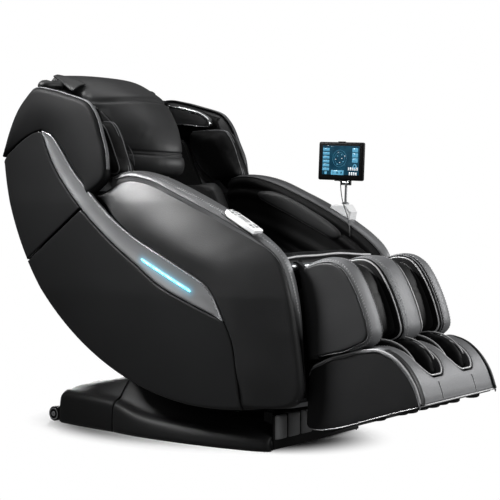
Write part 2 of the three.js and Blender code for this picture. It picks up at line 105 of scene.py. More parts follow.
class Nodes:
    """A small builder for one material's node tree."""

    def __init__(self, name):
        self.material = bpy.data.materials.new(name)
        self.material.use_nodes = True
        self.tree = self.material.node_tree
        self.bsdf = self.tree.nodes["Principled BSDF"]
        self.coords = self.add("ShaderNodeTexCoord").outputs["Object"]

    def add(self, kind, inputs=None, **settings):
        node = self.tree.nodes.new(kind)
        for key, value in settings.items():
            setattr(node, key, value)
        for key, value in (inputs or {}).items():
            self.put(node.inputs[key], value)
        return node

    def put(self, socket, value):
        if isinstance(value, bpy.types.NodeSocket):
            self.tree.links.new(value, socket)
        else:
            socket.default_value = value

    def set(self, **inputs):
        for key, value in inputs.items():
            self.put(self.bsdf.inputs[key.replace("_", " ")], value)

    def noise(self, scale, detail=3.0, rough=0.55, coords=None):
        node = self.add("ShaderNodeTexNoise", {"Vector": coords or self.coords, "Scale": scale,
                                               "Detail": detail, "Roughness": rough})
        return node.outputs["Fac"]

    def cells(self, scale, feature="F1", randomness=1.0):
        node = self.add("ShaderNodeTexVoronoi", {"Vector": self.coords, "Scale": scale,
                                                 "Randomness": randomness}, feature=feature)
        return node.outputs["Distance"]

    def stretch(self, scale):
        return self.add("ShaderNodeMapping", {"Vector": self.coords, "Scale": scale}).outputs["Vector"]

    def remap(self, value, low, high, to_low, to_high):
        node = self.add("ShaderNodeMapRange", {"Value": value, "From Min": low, "From Max": high,
                                               "To Min": to_low, "To Max": to_high})
        return node.outputs["Result"]

    def ramp(self, value, stops):
        node = self.add("ShaderNodeValToRGB", {"Fac": value})
        elements = node.color_ramp.elements
        while len(elements) < len(stops):
            elements.new(0.5)
        for element, (place, colour) in zip(elements, stops):
            element.position = place
            element.color = (*colour, 1)
        return node.outputs["Color"]

    def math(self, operation, a, b):
        return self.add("ShaderNodeMath", {0: a, 1: b}, operation=operation).outputs[0]

    def bump(self, height, strength, distance, normal=None):
        inputs = {"Height": height, "Strength": strength, "Distance": distance}
        if normal is not None:
            inputs["Normal"] = normal
        return self.add("ShaderNodeBump", inputs).outputs["Normal"]


def scaled(colour, k):
    return tuple(c * k for c in colour)


def leather(name, colour, roughness, metallic=0.0, grain=1.0, specular=0.5):
    """Synthetic leather: pebble grain, fine creases, slow change of tone and gloss."""
    n = Nodes(name)
    broad = n.noise(5, 3)
    n.set(Base_Color=n.ramp(broad, [(0.3, scaled(colour, 0.84)), (0.7, scaled(colour, 1.16))]))
    pebble = n.cells(620, randomness=0.9)
    crease = n.cells(140, "DISTANCE_TO_EDGE")
    fine = n.noise(1500, 2)
    gloss = n.math("ADD", n.remap(broad, 0.3, 0.7, roughness - 0.04, roughness + 0.04),
                   n.remap(pebble, 0.0, 0.8, 0.0, 0.08))
    first = n.bump(pebble, 0.22 * grain, 0.0006)
    second = n.bump(n.remap(crease, 0.0, 0.08, 0.0, 1.0), 0.16 * grain, 0.0005, first)
    n.set(Roughness=gloss, Metallic=metallic, Normal=n.bump(fine, 0.06, 0.0002, second))
    n.set(Specular_IOR_Level=specular)
    return n.material


def moulded(name, colour, roughness, coat=0.0, texture=1.0, specular=0.5):
    """Painted or moulded plastic: fine texture, faint waves of gloss and a few fine scuffs."""
    n = Nodes(name)
    broad = n.noise(3.5, 2)
    n.set(Base_Color=n.ramp(broad, [(0.3, scaled(colour, 0.9)), (0.7, scaled(colour, 1.1))]))
    scuff = n.noise(9, 6, 0.7, n.stretch((1.0, 5.0, 5.0)))
    n.set(Roughness=n.math("ADD", n.remap(broad, 0.3, 0.7, roughness - 0.03, roughness + 0.03),
                           n.remap(scuff, 0.55, 0.75, 0.0, 0.05)))
    n.set(Normal=n.bump(n.noise(900, 3), 0.08 * texture, 0.0003), Coat_Weight=coat, Coat_Roughness=0.12)
    n.set(Specular_IOR_Level=specular)
    return n.material


def metal(name, colour, roughness, grain=(1.0, 1.0, 1.0)):
    n = Nodes(name)
    brushed = n.noise(260, 4, 0.6, n.stretch(grain))
    n.set(Base_Color=n.ramp(n.noise(8, 2), [(0.3, scaled(colour, 0.9)), (0.7, scaled(colour, 1.08))]))
    n.set(Roughness=n.remap(brushed, 0.3, 0.7, roughness - 0.06, roughness + 0.08), Metallic=1.0)
    n.set(Normal=n.bump(brushed, 0.05, 0.0002))
    return n.material


def silver_paint():
    n = Nodes("silver_satin")
    flakes = n.noise(2600, 2)
    broad = n.noise(4, 2)
    n.set(Base_Color=n.ramp(broad, [(0.3, (0.36, 0.365, 0.375)), (0.7, (0.43, 0.435, 0.445))]))
    n.set(Metallic=n.remap(flakes, 0.35, 0.65, 0.45, 0.7), Roughness=n.remap(broad, 0.3, 0.7, 0.30, 0.36))
    n.set(Normal=n.bump(flakes, 0.05, 0.0002), Coat_Weight=0.35, Coat_Roughness=0.18)
    return n.material


def light_bar():
    n = Nodes("cyan_light")
    bands = n.noise(60, 3)
    colour = n.ramp(bands, [(0.3, (0.10, 0.72, 0.95)), (0.7, (0.35, 0.92, 1.0))])
    n.set(Base_Color=colour, Emission_Color=colour, Emission_Strength=2.6, Roughness=0.2)
    return n.material


def rubber(name):
    n = Nodes(name)
    n.set(Base_Color=n.ramp(n.noise(30, 4), [(0.35, (0.012, 0.012, 0.013)), (0.7, (0.022, 0.022, 0.023))]))
    n.set(Roughness=n.remap(n.noise(80, 3), 0.3, 0.7, 0.6, 0.8), Normal=n.bump(n.noise(700, 3), 0.15, 0.0004))
    return n.material


def grille():
    n = Nodes("speaker_cloth")
    mesh = n.cells(700, randomness=0.0)
    n.set(Base_Color=n.ramp(mesh, [(0.2, (0.006, 0.006, 0.006)), (0.55, (0.045, 0.046, 0.048))]))
    n.set(Roughness=0.6, Normal=n.bump(mesh, 0.6, 0.0006))
    return n.material


def screen_glass():
    n = Nodes("screen_glass")
    tone = n.noise(30, 4)
    colour = n.ramp(tone, [(0.3, (0.004, 0.030, 0.055)), (0.75, (0.012, 0.075, 0.12))])
    n.set(Base_Color=(0.004, 0.006, 0.010, 1), Roughness=0.12, Emission_Color=colour, Emission_Strength=1.0)
    return n.material


def screen_mark(name, colour, strength):
    n = Nodes(name)
    tone = n.noise(220, 3)
    n.set(Base_Color=(*scaled(colour, 0.5), 1), Roughness=0.3, Emission_Color=(*colour, 1))
    n.set(Emission_Strength=n.remap(tone, 0.3, 0.7, 0.75 * strength, strength))
    return n.material


def strip_material():
    """Silver paint with painted light: an emission glow, stored on its points, where the light bar's light
    falls on the strip.
    """
    material = silver_paint()
    material.name = "silver_strip_painted_glow"
    tree = material.node_tree
    painted_glow = tree.nodes.new("ShaderNodeAttribute")
    painted_glow.attribute_name = "painted_glow"
    gain = tree.nodes.new("ShaderNodeMath")
    gain.operation = "MULTIPLY"
    gain.inputs[1].default_value = 0.42
    bsdf = tree.nodes["Principled BSDF"]
    bsdf.inputs["Emission Color"].default_value = (0.03, 0.42, 0.68, 1)
    tree.links.new(painted_glow.outputs["Fac"], gain.inputs[0])
    tree.links.new(gain.outputs[0], bsdf.inputs["Emission Strength"])
    return material


def painted_shade_band_material():
    """Grey leather on the armrest's rounded front with painted shade: darker along its top, running into
    black near the foot, and less glossy where darker.
    """
    material = leather("band_leather_painted_shade", (0.23, 0.233, 0.239), 0.36, metallic=0.45)
    tree = material.node_tree
    bsdf = tree.nodes["Principled BSDF"]
    grain = bsdf.inputs["Base Color"].links[0].from_socket
    split = tree.nodes.new("ShaderNodeSeparateXYZ")
    coords = next(node for node in tree.nodes if node.type == "TEX_COORD")
    tree.links.new(coords.outputs["Object"], split.inputs[0])
    # Painted shade by height: near black by the foot, full tone at mid height, darker again along the top.
    ramp = tree.nodes.new("ShaderNodeValToRGB")
    elements = ramp.color_ramp.elements
    for place, level in ((0.33, 0.03), (0.45, 1.0), (0.62, 0.80), (0.70, 0.42)):
        element = elements.new(place)
        element.color = (level, level, level, 1)
    elements[0].color = (0.03, 0.03, 0.03, 1)
    elements[-1].color = (0.42, 0.42, 0.42, 1)
    tree.links.new(split.outputs["Z"], ramp.inputs["Fac"])
    shade = tree.nodes.new("ShaderNodeMix")
    shade.data_type = "RGBA"
    shade.blend_type = "MULTIPLY"
    shade.inputs["Factor"].default_value = 1.0
    tree.links.new(grain, shade.inputs["A"])
    tree.links.new(ramp.outputs["Color"], shade.inputs["B"])
    tree.links.new(shade.outputs["Result"], bsdf.inputs["Base Color"])
    level = tree.nodes.new("ShaderNodeMapRange")
    level.inputs["To Min"].default_value = 0.1
    level.inputs["To Max"].default_value = 0.5
    tree.links.new(ramp.outputs["Color"], level.inputs["Value"])
    tree.links.new(level.outputs["Result"], bsdf.inputs["Specular IOR Level"])
    return material


SHELL = moulded("satin_black_shell", (0.0135, 0.0138, 0.0145), 0.36)
BASE = moulded("black_base_plastic", (0.0150, 0.0152, 0.0158), 0.50, specular=0.32)
# Painted shade: a near-black for hidden frame pieces and the sheet behind the slats.
SHADE_BLACK = moulded("shadow_black", (0.003, 0.003, 0.003), 0.75)
WHITE = moulded("white_plastic", (0.90, 0.905, 0.91), 0.26, coat=0.4)
GLOSS_BLACK = moulded("gloss_black", (0.006, 0.006, 0.007), 0.16, coat=0.5, texture=0.3)
TABLET_BLACK = moulded("tablet_shell", (0.003, 0.003, 0.0033), 0.45, specular=0.2)
MARKS = moulded("dark_marks", (0.05, 0.052, 0.055), 0.35)
ARM_LEATHER = leather("black_leather_arm", (0.0130, 0.0132, 0.0138), 0.38)
BLACK_LEATHER = leather("black_leather", (0.0070, 0.0071, 0.0076), 0.44)
FOOT_LEATHER = leather("foot_side_leather", (0.0070, 0.0071, 0.0076), 0.46, specular=0.30)
SIDE_LEATHER = leather("charcoal_leather", (0.0130, 0.0132, 0.0140), 0.42)
GREY_LEATHER = leather("grey_metallic_leather", (0.150, 0.152, 0.157), 0.45, metallic=0.35, grain=1.4)
GREY_PLASTIC = moulded("mid_grey_plastic", (0.30, 0.302, 0.306), 0.35)
SLAT = moulded("grey_slat_plastic", (0.26, 0.262, 0.266), 0.38)
HEAD_LEATHER = leather("dark_grey_leather", (0.020, 0.0203, 0.021), 0.42, specular=0.4)
# Painted shade: the charcoal side leather darkened and dulled for the shoulder panels.
SHOULDER_LEATHER_SHADED = leather("shoulder_leather_painted_shade", (0.0075, 0.0077, 0.0082), 0.50, specular=0.15)
# Painted shade: black leather darkened for recessed places: wings, arm linings, seat and back centres, calf
# and foot channels, foot wells.
SHADED_BLACK_LEATHER = leather("black_leather_painted_shade", (0.0030, 0.0030, 0.0032), 0.50, specular=0.14)
PIPING = leather("light_piping", (0.46, 0.46, 0.465), 0.36, metallic=0.2, grain=0.4)
DARK_PIPING = leather("dark_piping", (0.05, 0.05, 0.052), 0.42, grain=0.4)
THREAD = leather("pale_thread", (0.42, 0.42, 0.42), 0.6, grain=0.3)
SILVER_BRIGHT = metal("bright_silver_trim", (0.62, 0.63, 0.64), 0.26)
CHROME = metal("bright_chrome", (0.72, 0.73, 0.75), 0.12)
STEEL = metal("brushed_steel", (0.42, 0.43, 0.44), 0.34, (1.0, 8.0, 8.0))
ALUMINIUM = metal("plain_aluminium", (0.50, 0.51, 0.52), 0.42, (8.0, 1.0, 1.0))
RUBBER = rubber("black_rubber")
GRILLE = grille()
LIGHT = light_bar()
STRIP = strip_material()
# The band's leather carries painted shade by height.
BAND_PAINTED_SHADE = painted_shade_band_material()
SCREEN = screen_glass()
CYAN = screen_mark("cyan_mark", (0.13, 0.42, 0.62), 0.85)
PALE = screen_mark("pale_mark", (0.75, 0.80, 0.84), 0.9)
DIM = screen_mark("dim_mark", (0.05, 0.22, 0.34), 0.8)
CABLE = moulded("grey_cable_sheath", (0.05, 0.051, 0.052), 0.40)


# Geometry helpers.

def row(points):
    """Moves drawn points (x, y, z) into the row frame."""
    return np.asarray(points, float) + (0, SHIFT, 0)


def at_x(x, points):
    """Places (y, z) points at x, one value or one for each, in the row frame."""
    return row(np.column_stack([np.broadcast_to(x, len(points)), points]))


def unit(vectors):
    return vectors / np.linalg.norm(vectors, axis=1)[:, None]


def turn(count):
    """Evenly spaced angles round a full turn."""
    return np.linspace(0, 2 * np.pi, count, endpoint=False)


def resample(points, count):
    """Evenly spaced points on a smooth curve through the given ones."""
    p = np.asarray(points, float)
    p = np.vstack([2 * p[0] - p[1], p, 2 * p[-1] - p[-2]])
    dense = []
    for a, b, c, d in zip(p[:-3], p[1:-2], p[2:-1], p[3:]):
        t = np.linspace(0, 1, 24, endpoint=False)[:, None]
        dense.append(0.5 * (2 * b + (c - a) * t + (2 * a - 5 * b + 4 * c - d) * t**2
                            + (3 * b - a - 3 * c + d) * t**3))
    dense = np.vstack([*dense, p[-2:-1]])
    length = np.concatenate([[0], np.cumsum(np.linalg.norm(np.diff(dense, axis=0), axis=1))])
    u = np.linspace(0, 1, count)
    return np.stack([np.interp(u * length[-1], length, dense[:, k]) for k in range(dense.shape[1])], 1)


def arc(radius, start, end, count):
    """Points on the belly's circle; angles are in degrees from straight down, towards the rear."""
    a = np.radians(np.linspace(start, end, count))
    return np.stack([PIVOT_Y + radius * np.sin(a), PIVOT_Z - radius * np.cos(a)], 1)


def side_x(y, z):
    """Half the chair's width at a side point: widest by the seat, narrower away from it."""
    rear = np.maximum(0, y - WIDEST_Y) / 0.700
    front = np.maximum(0, WIDEST_Y - y) / 0.450
    high = np.maximum(0, z - 0.720)
    low = np.maximum(0, 0.450 - z)
    return HALF_WIDTH - 0.030 * rear**2 - 0.065 * front**2 - 0.05 * high - 0.10 * low


def build(name, vertices, faces, material, body):
    data = bpy.data.meshes.new(name)
    data.from_pydata([tuple(v) for v in vertices], [], [tuple(f) for f in faces])
    data.materials.append(material)
    data.validate()
    piece = new_object(name, data)
    for polygon in data.polygons:
        polygon.use_smooth = True
    outward(piece)
    if body:
        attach(piece, body)
    return piece


def outward(piece):
    """Makes all face normals agree and point out of a closed shape."""
    bm = bmesh.new()
    bm.from_mesh(piece.data)
    bmesh.ops.recalc_face_normals(bm, faces=bm.faces)
    bm.to_mesh(piece.data)
    bm.free()


def grid_faces(rows, columns, closed=False, offset=0):
    faces = []
    for r in range(rows - 1):
        for c in range(columns if closed else columns - 1):
            a = offset + r * columns + c
            b = offset + r * columns + (c + 1) % columns
            faces.append((a, b, b + columns, a + columns))
    return faces


def end_caps(count, sides):
    """Two faces that close the ends of a run of rings."""
    return [tuple(reversed(range(sides))), tuple(range((count - 1) * sides, count * sides))]


def shell_sheet(name, outer, depth, material, body):
    """Closes a grid of surface points into a panel: depth is each point's vector to the hidden side."""
    rows, columns = outer.shape[:2]
    front = outer.reshape(-1, 3)
    back = (outer + depth).reshape(-1, 3)
    n = rows * columns
    faces = grid_faces(rows, columns)
    faces += [tuple(reversed(f)) for f in grid_faces(rows, columns, offset=n)]
    rim = [*range(columns), *[r * columns + columns - 1 for r in range(1, rows)],
           *[(rows - 1) * columns + c for c in range(columns - 2, -1, -1)],
           *[r * columns for r in range(rows - 2, 0, -1)]]
    faces += [(a, a + n, b + n, b) for a, b in zip(rim, rim[1:] + rim[:1])]
    return build(name, np.vstack([front, back]), faces, material, body)


def tube(name, points, radius, material, body, sides=8, closed=False):
    """Round piping along a smooth path of points in the row frame."""
    p = np.asarray(points, float)
    ahead = np.roll(p, -1, 0) - np.roll(p, 1, 0)
    if not closed:
        ahead[0], ahead[-1] = p[1] - p[0], p[-1] - p[-2]
    t = unit(ahead)
    normal = np.cross(t[0], (0.31, 0.57, 0.76))
    vertices = []
    angle = turn(sides)
    for place, along in zip(p, t):
        normal = normal - along * normal.dot(along)
        normal /= np.linalg.norm(normal)
        other = np.cross(along, normal)
        vertices.append(place + radius * (np.outer(np.cos(angle), normal) + np.outer(np.sin(angle), other)))
    rings = len(p)
    faces = grid_faces(rings, sides, closed=True)
    if closed:
        last = (rings - 1) * sides
        faces += [(last + i, last + (i + 1) % sides, (i + 1) % sides, i) for i in range(sides)]
    else:
        faces += end_caps(rings, sides)
    return build(name, np.vstack(vertices), faces, material, body)


STITCH = 0.0055
STITCH_GAP = 0.0030
STITCH_THICK = 0.0008


def stitches(name, points, body):
    """A row of sewn stitches, each a small raised lozenge, along a path in the row frame."""
    p = np.asarray(points, float)
    far = np.concatenate([[0], np.cumsum(np.linalg.norm(np.diff(p, axis=0), axis=1))])
    starts = np.arange(0, far[-1] - STITCH, STITCH + STITCH_GAP)
    at = lambda s: np.array([np.interp(s, far, p[:, k]) for k in range(3)])
    vertices, faces = [], []
    for s in starts:
        a, b = at(s), at(s + STITCH)
        along = (b - a) / np.linalg.norm(b - a)
        side = np.cross(along, (0.2, 0.5, 0.84))
        side /= np.linalg.norm(side)
        up = np.cross(along, side)
        k = len(vertices)
        middle = (a + b) / 2
        vertices += [a, b, *[middle + STITCH_THICK * (side * math.cos(q) + up * math.sin(q))
                             for q in (0, math.pi / 2, math.pi, 3 * math.pi / 2)]]
        for i in range(4):
            j = 2 + (i + 1) % 4
            faces += [(k, k + 2 + i, k + j), (k + 1, k + j, k + 2 + i)]
    return build(name, vertices, faces, THREAD, body)


def steps(length, roll_a, roll_b, count):
    """Distances across a panel, crowded where its two edges roll in."""
    k = np.array([0, 0.06, 0.2, 0.42, 0.7, 1.0])
    a, b = min(roll_a, 0.45 * length), min(roll_b, 0.45 * length)
    middle = np.linspace(a, length - b, count)[1:-1]
    return np.concatenate([k * a, middle, length - b * k[::-1]])


def roll_in(distance, radius):
    """How far a rounded edge has dropped at a distance from the panel's border."""
    t = np.clip(1 - distance / radius, 0, 1)
    return radius * (1 - np.sqrt(np.maximum(0, 1 - t**2)))


def smooth(t):
    """An eased step from 0 to 1."""
    t = np.clip(t, 0, 1)
    return t * t * (3 - 2 * t)


def panel(name, edge_a, edge_b, side, material, body, node=None, columns=72, rows=12,
          rolls=(0.006, 0.006), ends=0.005, fall=(0, 1), crown=0, depth=SKIN, x_of=side_x, lift=0,
          fade=((0, 1), (1, 1))):
    """A curved side panel between two edges drawn in (y, z); fall = (drop, width) rounds it off by edge_a."""
    a, b = resample(edge_a, 400), resample(edge_b, 400)
    length = np.linalg.norm(np.diff((a + b) / 2, axis=0), axis=1).sum()
    along = steps(length, ends, ends, columns) / length
    index = along * 399
    pick = lambda p: np.stack([np.interp(index, np.arange(400), p[:, k]) for k in range(2)], 1)
    a, b = pick(a), pick(b)
    grid = []
    for c in range(len(a)):
        across = b[c] - a[c]
        width = max(1e-4, np.linalg.norm(across) - 2 * SEAM_GAP)
        ahead = across / max(1e-6, np.linalg.norm(across))
        d = steps(width, rolls[0], rolls[1], rows)
        place = a[c] + ahead * (SEAM_GAP + d[:, None])
        end = min(along[c], 1 - along[c]) * length
        drop = roll_in(d, min(rolls[0], 0.45 * width)) + roll_in(width - d, min(rolls[1], 0.45 * width))
        drop = np.maximum(drop, roll_in(np.full_like(d, end), ends))
        shape = fall[0] * (1 - smooth(d / fall[1])) - crown * np.sin(np.pi * np.clip(d / width, 0, 1))
        drop += shape * np.interp(along[c], *fade)
        x = x_of(place[:, 0], place[:, 1]) + lift - drop
        grid.append(np.column_stack([side * x, place]))
    piece = shell_sheet(name, row(np.array(grid)), np.array([-side * depth, 0, 0]), material, body)
    if node:
        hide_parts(node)
    return piece


def on_side(points, side, lift):
    """Lifts (y, z) points onto a side's surface, in the row frame."""
    return at_x(side * (side_x(points[:, 0], points[:, 1]) + lift), points)


def ring_loft(name, rings, material, body, caps=True):
    """A closed skin over rings of points."""
    rings = np.asarray(rings, float)
    count, sides = rings.shape[:2]
    faces = grid_faces(count, sides, closed=True)
    if caps:
        faces += end_caps(count, sides)
    return build(name, rings.reshape(-1, 3), faces, material, body)


# Shell.

STRIP_LOW = [(0.541, 0.939), (0.516, 0.886), (0.470, 0.816), (0.410, 0.751), (0.361, 0.704), (0.295, 0.648),
             (0.218, 0.591), (0.129, 0.533), (0.043, 0.476), (-0.076, 0.423), (-0.175, 0.382)]
STRIP_UP = [(0.545, 0.948), (0.494, 0.930), (0.449, 0.885), (0.388, 0.814), (0.302, 0.737), (0.230, 0.677),
            (0.135, 0.616), (0.043, 0.571), (-0.047, 0.526), (-0.117, 0.488), (-0.148, 0.456),
            (-0.165, 0.416), (-0.180, 0.380)]
QUARTER_TOP = [(0.722, 0.866), (0.690, 0.888), (0.641, 0.918), (0.598, 0.936), (0.565, 0.945)]
SHOULDER_OUT = [(0.722, 0.872), (0.715, 0.910), (0.698, 0.960), (0.667, 1.018), (0.625, 1.062),
                (0.582, 1.088), (0.504, 1.076), (0.437, 1.058), (0.362, 1.036), (0.330, 1.012),
                (0.305, 0.976), (0.284, 0.926), (0.263, 0.875), (0.253, 0.818), (0.258, 0.790),
                (0.280, 0.768), (0.324, 0.739)]
ARM_OUT = [(0.320, 0.732), (0.290, 0.751), (0.250, 0.772), (0.210, 0.787), (0.165, 0.794), (0.085, 0.779),
           (-0.009, 0.741), (-0.115, 0.696), (-0.201, 0.652), (-0.276, 0.614), (-0.325, 0.575),
           (-0.355, 0.520), (-0.377, 0.429), (-0.389, 0.330), (-0.396, 0.230), (-0.394, 0.180),
           (-0.374, 0.148), (-0.330, 0.134), (-0.216, 0.127)]
ARM_FADE = ((0, 0.06, 0.50, 0.72, 1), (0.6, 1, 1, 0.45, 0.25))
ARM_SEAM = [(-0.181, 0.376), (-0.202, 0.315), (-0.209, 0.231), (-0.212, 0.160)]


LIGHT_BAR = ((0.106, 0.5505), (-0.075, 0.4625))
LIGHT_BAR_R = 0.0052
# Where the painted glow on the strip is centred and how far it reaches.
GLOW_LINE = ((0.104, 0.550), (-0.072, 0.463))
GLOW_REACH = 0.0125


def edge_roll(z):
    """How far the side edges of the shell roll inwards at a height."""
    return 0.012 + 0.003 * smooth((z - 0.85) / 0.12)


def clip(path, test):
    """The points of a smoothed path that pass a test."""
    return [p for p in resample(path, 60) if test(p)]


def paint_strip_glow(piece):
    """Stores the painted glow on each point of the strip: how much of the light bar's light it would catch.
    """
    data = piece.data
    a, b = row([(0, *end) for end in GLOW_LINE])[:, 1:]
    painted_glow = data.attributes.new("painted_glow", "FLOAT", "POINT")
    co = np.array([v.co for v in data.vertices])[:, 1:]
    t = np.clip(((co - a) @ (b - a)) / ((b - a) @ (b - a)), 0, 1)
    distance = np.linalg.norm(co - (a + t[:, None] * (b - a)), axis=1)
    painted_glow.data.foreach_set("value", np.exp(-(distance / GLOW_REACH) ** 2).astype(np.float32))


def make_strip(tag, side):
    piece = panel(f"strip_{tag}", STRIP_UP, STRIP_LOW, side, STRIP, "cradle", f"trim_strip_{tag}",
                  columns=220, rows=22, rolls=(0.004, 0.012), ends=0.004, crown=-0.006,
                  lift=0.004)
    paint_strip_glow(piece)
    pairs = zip(resample(STRIP_UP, 120), resample(STRIP_LOW, 120))
    inward = [a + (b - a) * min(0.4, 0.0028 / max(1e-4, np.linalg.norm(b - a))) for a, b in pairs]
    tube(f"strip_lip_{tag}", on_side(resample(inward[40:-1:6], 200), side, lift=0.0050), 0.0011,
         SILVER_BRIGHT, "cradle")
    line = np.linspace(*LIGHT_BAR, 40)
    rings = []
    for t, (y, z) in zip(np.linspace(0, 1, 40), line):
        end = min(t, 1 - t) * 0.200
        r = LIGHT_BAR_R * math.sqrt(max(0.02, 1 - max(0, 1 - end / LIGHT_BAR_R) ** 2))
        q = turn(12)
        around = np.column_stack([y + 0.45 * r * np.cos(q), z + 0.9 * r * np.cos(q)])
        x = side_x(around[:, 0], around[:, 1]) + 0.0005 + 0.6 * r * np.sin(q)
        rings.append(at_x(side * x, around))
    bar = ring_loft(f"light_bar_{tag}", rings, LIGHT, "cradle")
    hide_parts(f"led_bar_{tag}")


def make_side_panels(tag, side):
    arc_low = arc(BELLY_R - 0.001, 57.7, -5.0, 60)
    panel(f"lower_shell_{tag}", arc_low, [(0.356, 0.697), *clip(STRIP_LOW, lambda p: p[0] < 0.345)[:-1],
                                          *ARM_SEAM], side, SHELL, "cradle", f"lower_panel_{tag}",
          columns=90, rows=22, rolls=(0.012, 0.006), ends=0.004)
    rear = [*arc(BELLY_R - 0.002, 58.2, 80, 12), (0.726, 0.855)]
    inner = [(0.361, 0.704), *clip(STRIP_LOW, lambda p: p[0] > 0.368)[::-1], (0.556, 0.944)]
    rim, top = resample(rear, 30), resample(QUARTER_TOP, 14)
    panel(f"quarter_shell_{tag}", [*rim, *top[1:-1]], inner, side, SHELL, "cradle", f"quarter_panel_{tag}",
          columns=80, rows=22, rolls=(0.012, 0.004), ends=0.004)
    inside = [*QUARTER_TOP, *clip(STRIP_UP, lambda p: p[0] > 0.333)]
    # The shoulder panels take the shaded copy of the side leather: painted shade.
    panel(f"shoulder_shell_{tag}", SHOULDER_OUT, inside, side, SHOULDER_LEATHER_SHADED, "cradle",
          f"shoulder_panel_{tag}", columns=110, rows=20, rolls=(0.015, 0.005), ends=0.004,
          crown=0.006)
    seam = [*clip(STRIP_UP, lambda p: -0.176 < p[0] < 0.318), *ARM_SEAM]
    panel(f"arm_side_{tag}", ARM_OUT, seam, side, ARM_LEATHER, "cradle", f"arm_panel_{tag}",
          columns=130, rows=26, rolls=(0.014, 0.005), ends=0.004, fall=(0.034, 0.190), crown=0.010,
          fade=ARM_FADE)
    make_strip(tag, side)


def make_rounded_shell(name, path, node):
    """The shell's skin across the chair, with its side edges rolled to meet the side panels."""
    u = np.array([-1, -0.997, -0.985, -0.96, -0.9, -0.7, -0.4, 0, 0.4, 0.7, 0.9, 0.96, 0.985, 0.997, 1])
    path = np.asarray(path, float)
    tangent = unit(np.gradient(path, axis=0))
    normal = np.column_stack([-tangent[:, 1], tangent[:, 0]])
    if (normal[len(path) // 2] @ (path[len(path) // 2] - (PIVOT_Y, PIVOT_Z))) < 0:
        normal = -normal
    grid = []
    for p, n in zip(path, normal):
        half = side_x(p[0], p[1]) - edge_roll(p[1]) - 0.001
        drop = 0.006 * (1 - np.sqrt(np.maximum(0, 1 - np.clip((np.abs(u) - 0.96) / 0.04, 0, 1) ** 2)))
        grid.append(np.column_stack([u * half, p[0] - n[0] * drop, p[1] - n[1] * drop]))
    inward = np.array([[(0, -n[0] * SKIN, -n[1] * SKIN)] for n in normal])
    piece = shell_sheet(name, row(np.array(grid)), inward, SHELL, "cradle")
    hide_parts(node)


def make_shell():
    for tag, side in SIDES:
        make_side_panels(tag, side)
    make_rounded_shell("belly_skin", arc(BELLY_R, -16, 57.7, 60), "belly_shell")
    crest = resample([(0.727, 0.850), (0.716, 0.905), (0.697, 0.958), (0.665, 1.016), (0.624, 1.060),
                      (0.580, 1.085)], 24)
    make_rounded_shell("back_skin", [*arc(BELLY_R, 58.2, 79, 24), *crest], "back_shell")


# Armrests.

BAND_OUT = [(0.262, 0.780), (0.235, 0.795), (0.175, 0.803), (0.085, 0.785), (-0.009, 0.746), (-0.115, 0.700),
            (-0.201, 0.656), (-0.278, 0.612), (-0.328, 0.572), (-0.356, 0.520), (-0.376, 0.440),
            (-0.384, 0.360), (-0.388, 0.260), (-0.387, 0.180)]
BAND_IN = [(0.256, 0.800), (0.215, 0.806), (0.155, 0.803), (0.076, 0.783), (-0.019, 0.746), (-0.115, 0.702),
           (-0.205, 0.655), (-0.281, 0.606), (-0.335, 0.557), (-0.358, 0.510), (-0.374, 0.440),
           (-0.382, 0.360), (-0.384, 0.260), (-0.378, 0.180)]


def path_normals(path):
    """Unit normals along a (y, z) path, on its right hand."""
    tangent = unit(np.gradient(path, axis=0))
    return np.column_stack([tangent[:, 1], -tangent[:, 0]])


def make_band(tag, side):
    outer, inner = resample(BAND_OUT, 90), resample(BAND_IN, 90)
    normal = path_normals((outer + inner) / 2)
    if normal[20][1] < 0:
        normal = -normal
    u = np.concatenate([[0, 0, 0, 0.03], np.linspace(0.08, 0.92, 13), [0.97, 1, 1, 1]])
    sink = np.concatenate([[-0.026, -0.012, -0.005, -0.0015], np.zeros(13),
                           [-0.0015, -0.006, -0.014, -0.030]])
    grid = []
    for a, b, n in zip(outer, inner, normal):
        xa = min(side_x(*a) - 0.030, 0.352)
        bulge = 0.011 * (1 - (2 * u - 1) ** 4) + sink
        y = a[0] + (b[0] - a[0]) * u + n[0] * bulge
        z = a[1] + (b[1] - a[1]) * u + n[1] * bulge
        grid.append(np.column_stack([side * (xa + (INNER_X - xa) * u), y, z]))
    grid = row(np.array(grid))
    inward = np.array([[(0, -n[0] * 0.008, -n[1] * 0.008)] for n in normal])
    band = shell_sheet(f"arm_top_{tag}", grid, inward, BAND_PAINTED_SHADE, "cradle")
    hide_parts(f"arm_band_{tag}")
    last = int(np.argmax(grid[:, 8, 2] < 0.40))
    lifted = lambda c, up: grid[2:last, c] + np.column_stack([np.zeros(last - 2), normal[2:last] * up])
    tube(f"arm_piping_{tag}", lifted(2, 0.0008), 0.0022, DARK_PIPING, "cradle")
    stitches(f"arm_stitch_a_{tag}", lifted(5, 0.0003), "cradle")
    stitches(f"arm_stitch_b_{tag}", lifted(6, 0.0003), "cradle")
    tube(f"arm_inner_piping_{tag}", lifted(-4, 0.0006), 0.0024, DARK_PIPING, "cradle")


INSIDE_LOW = [(0.300, 0.560), (0.200, 0.500), (0.092, 0.470), (-0.020, 0.478), (-0.120, 0.470),
              (-0.220, 0.452), (-0.300, 0.430), (-0.352, 0.330), (-0.362, 0.220)]


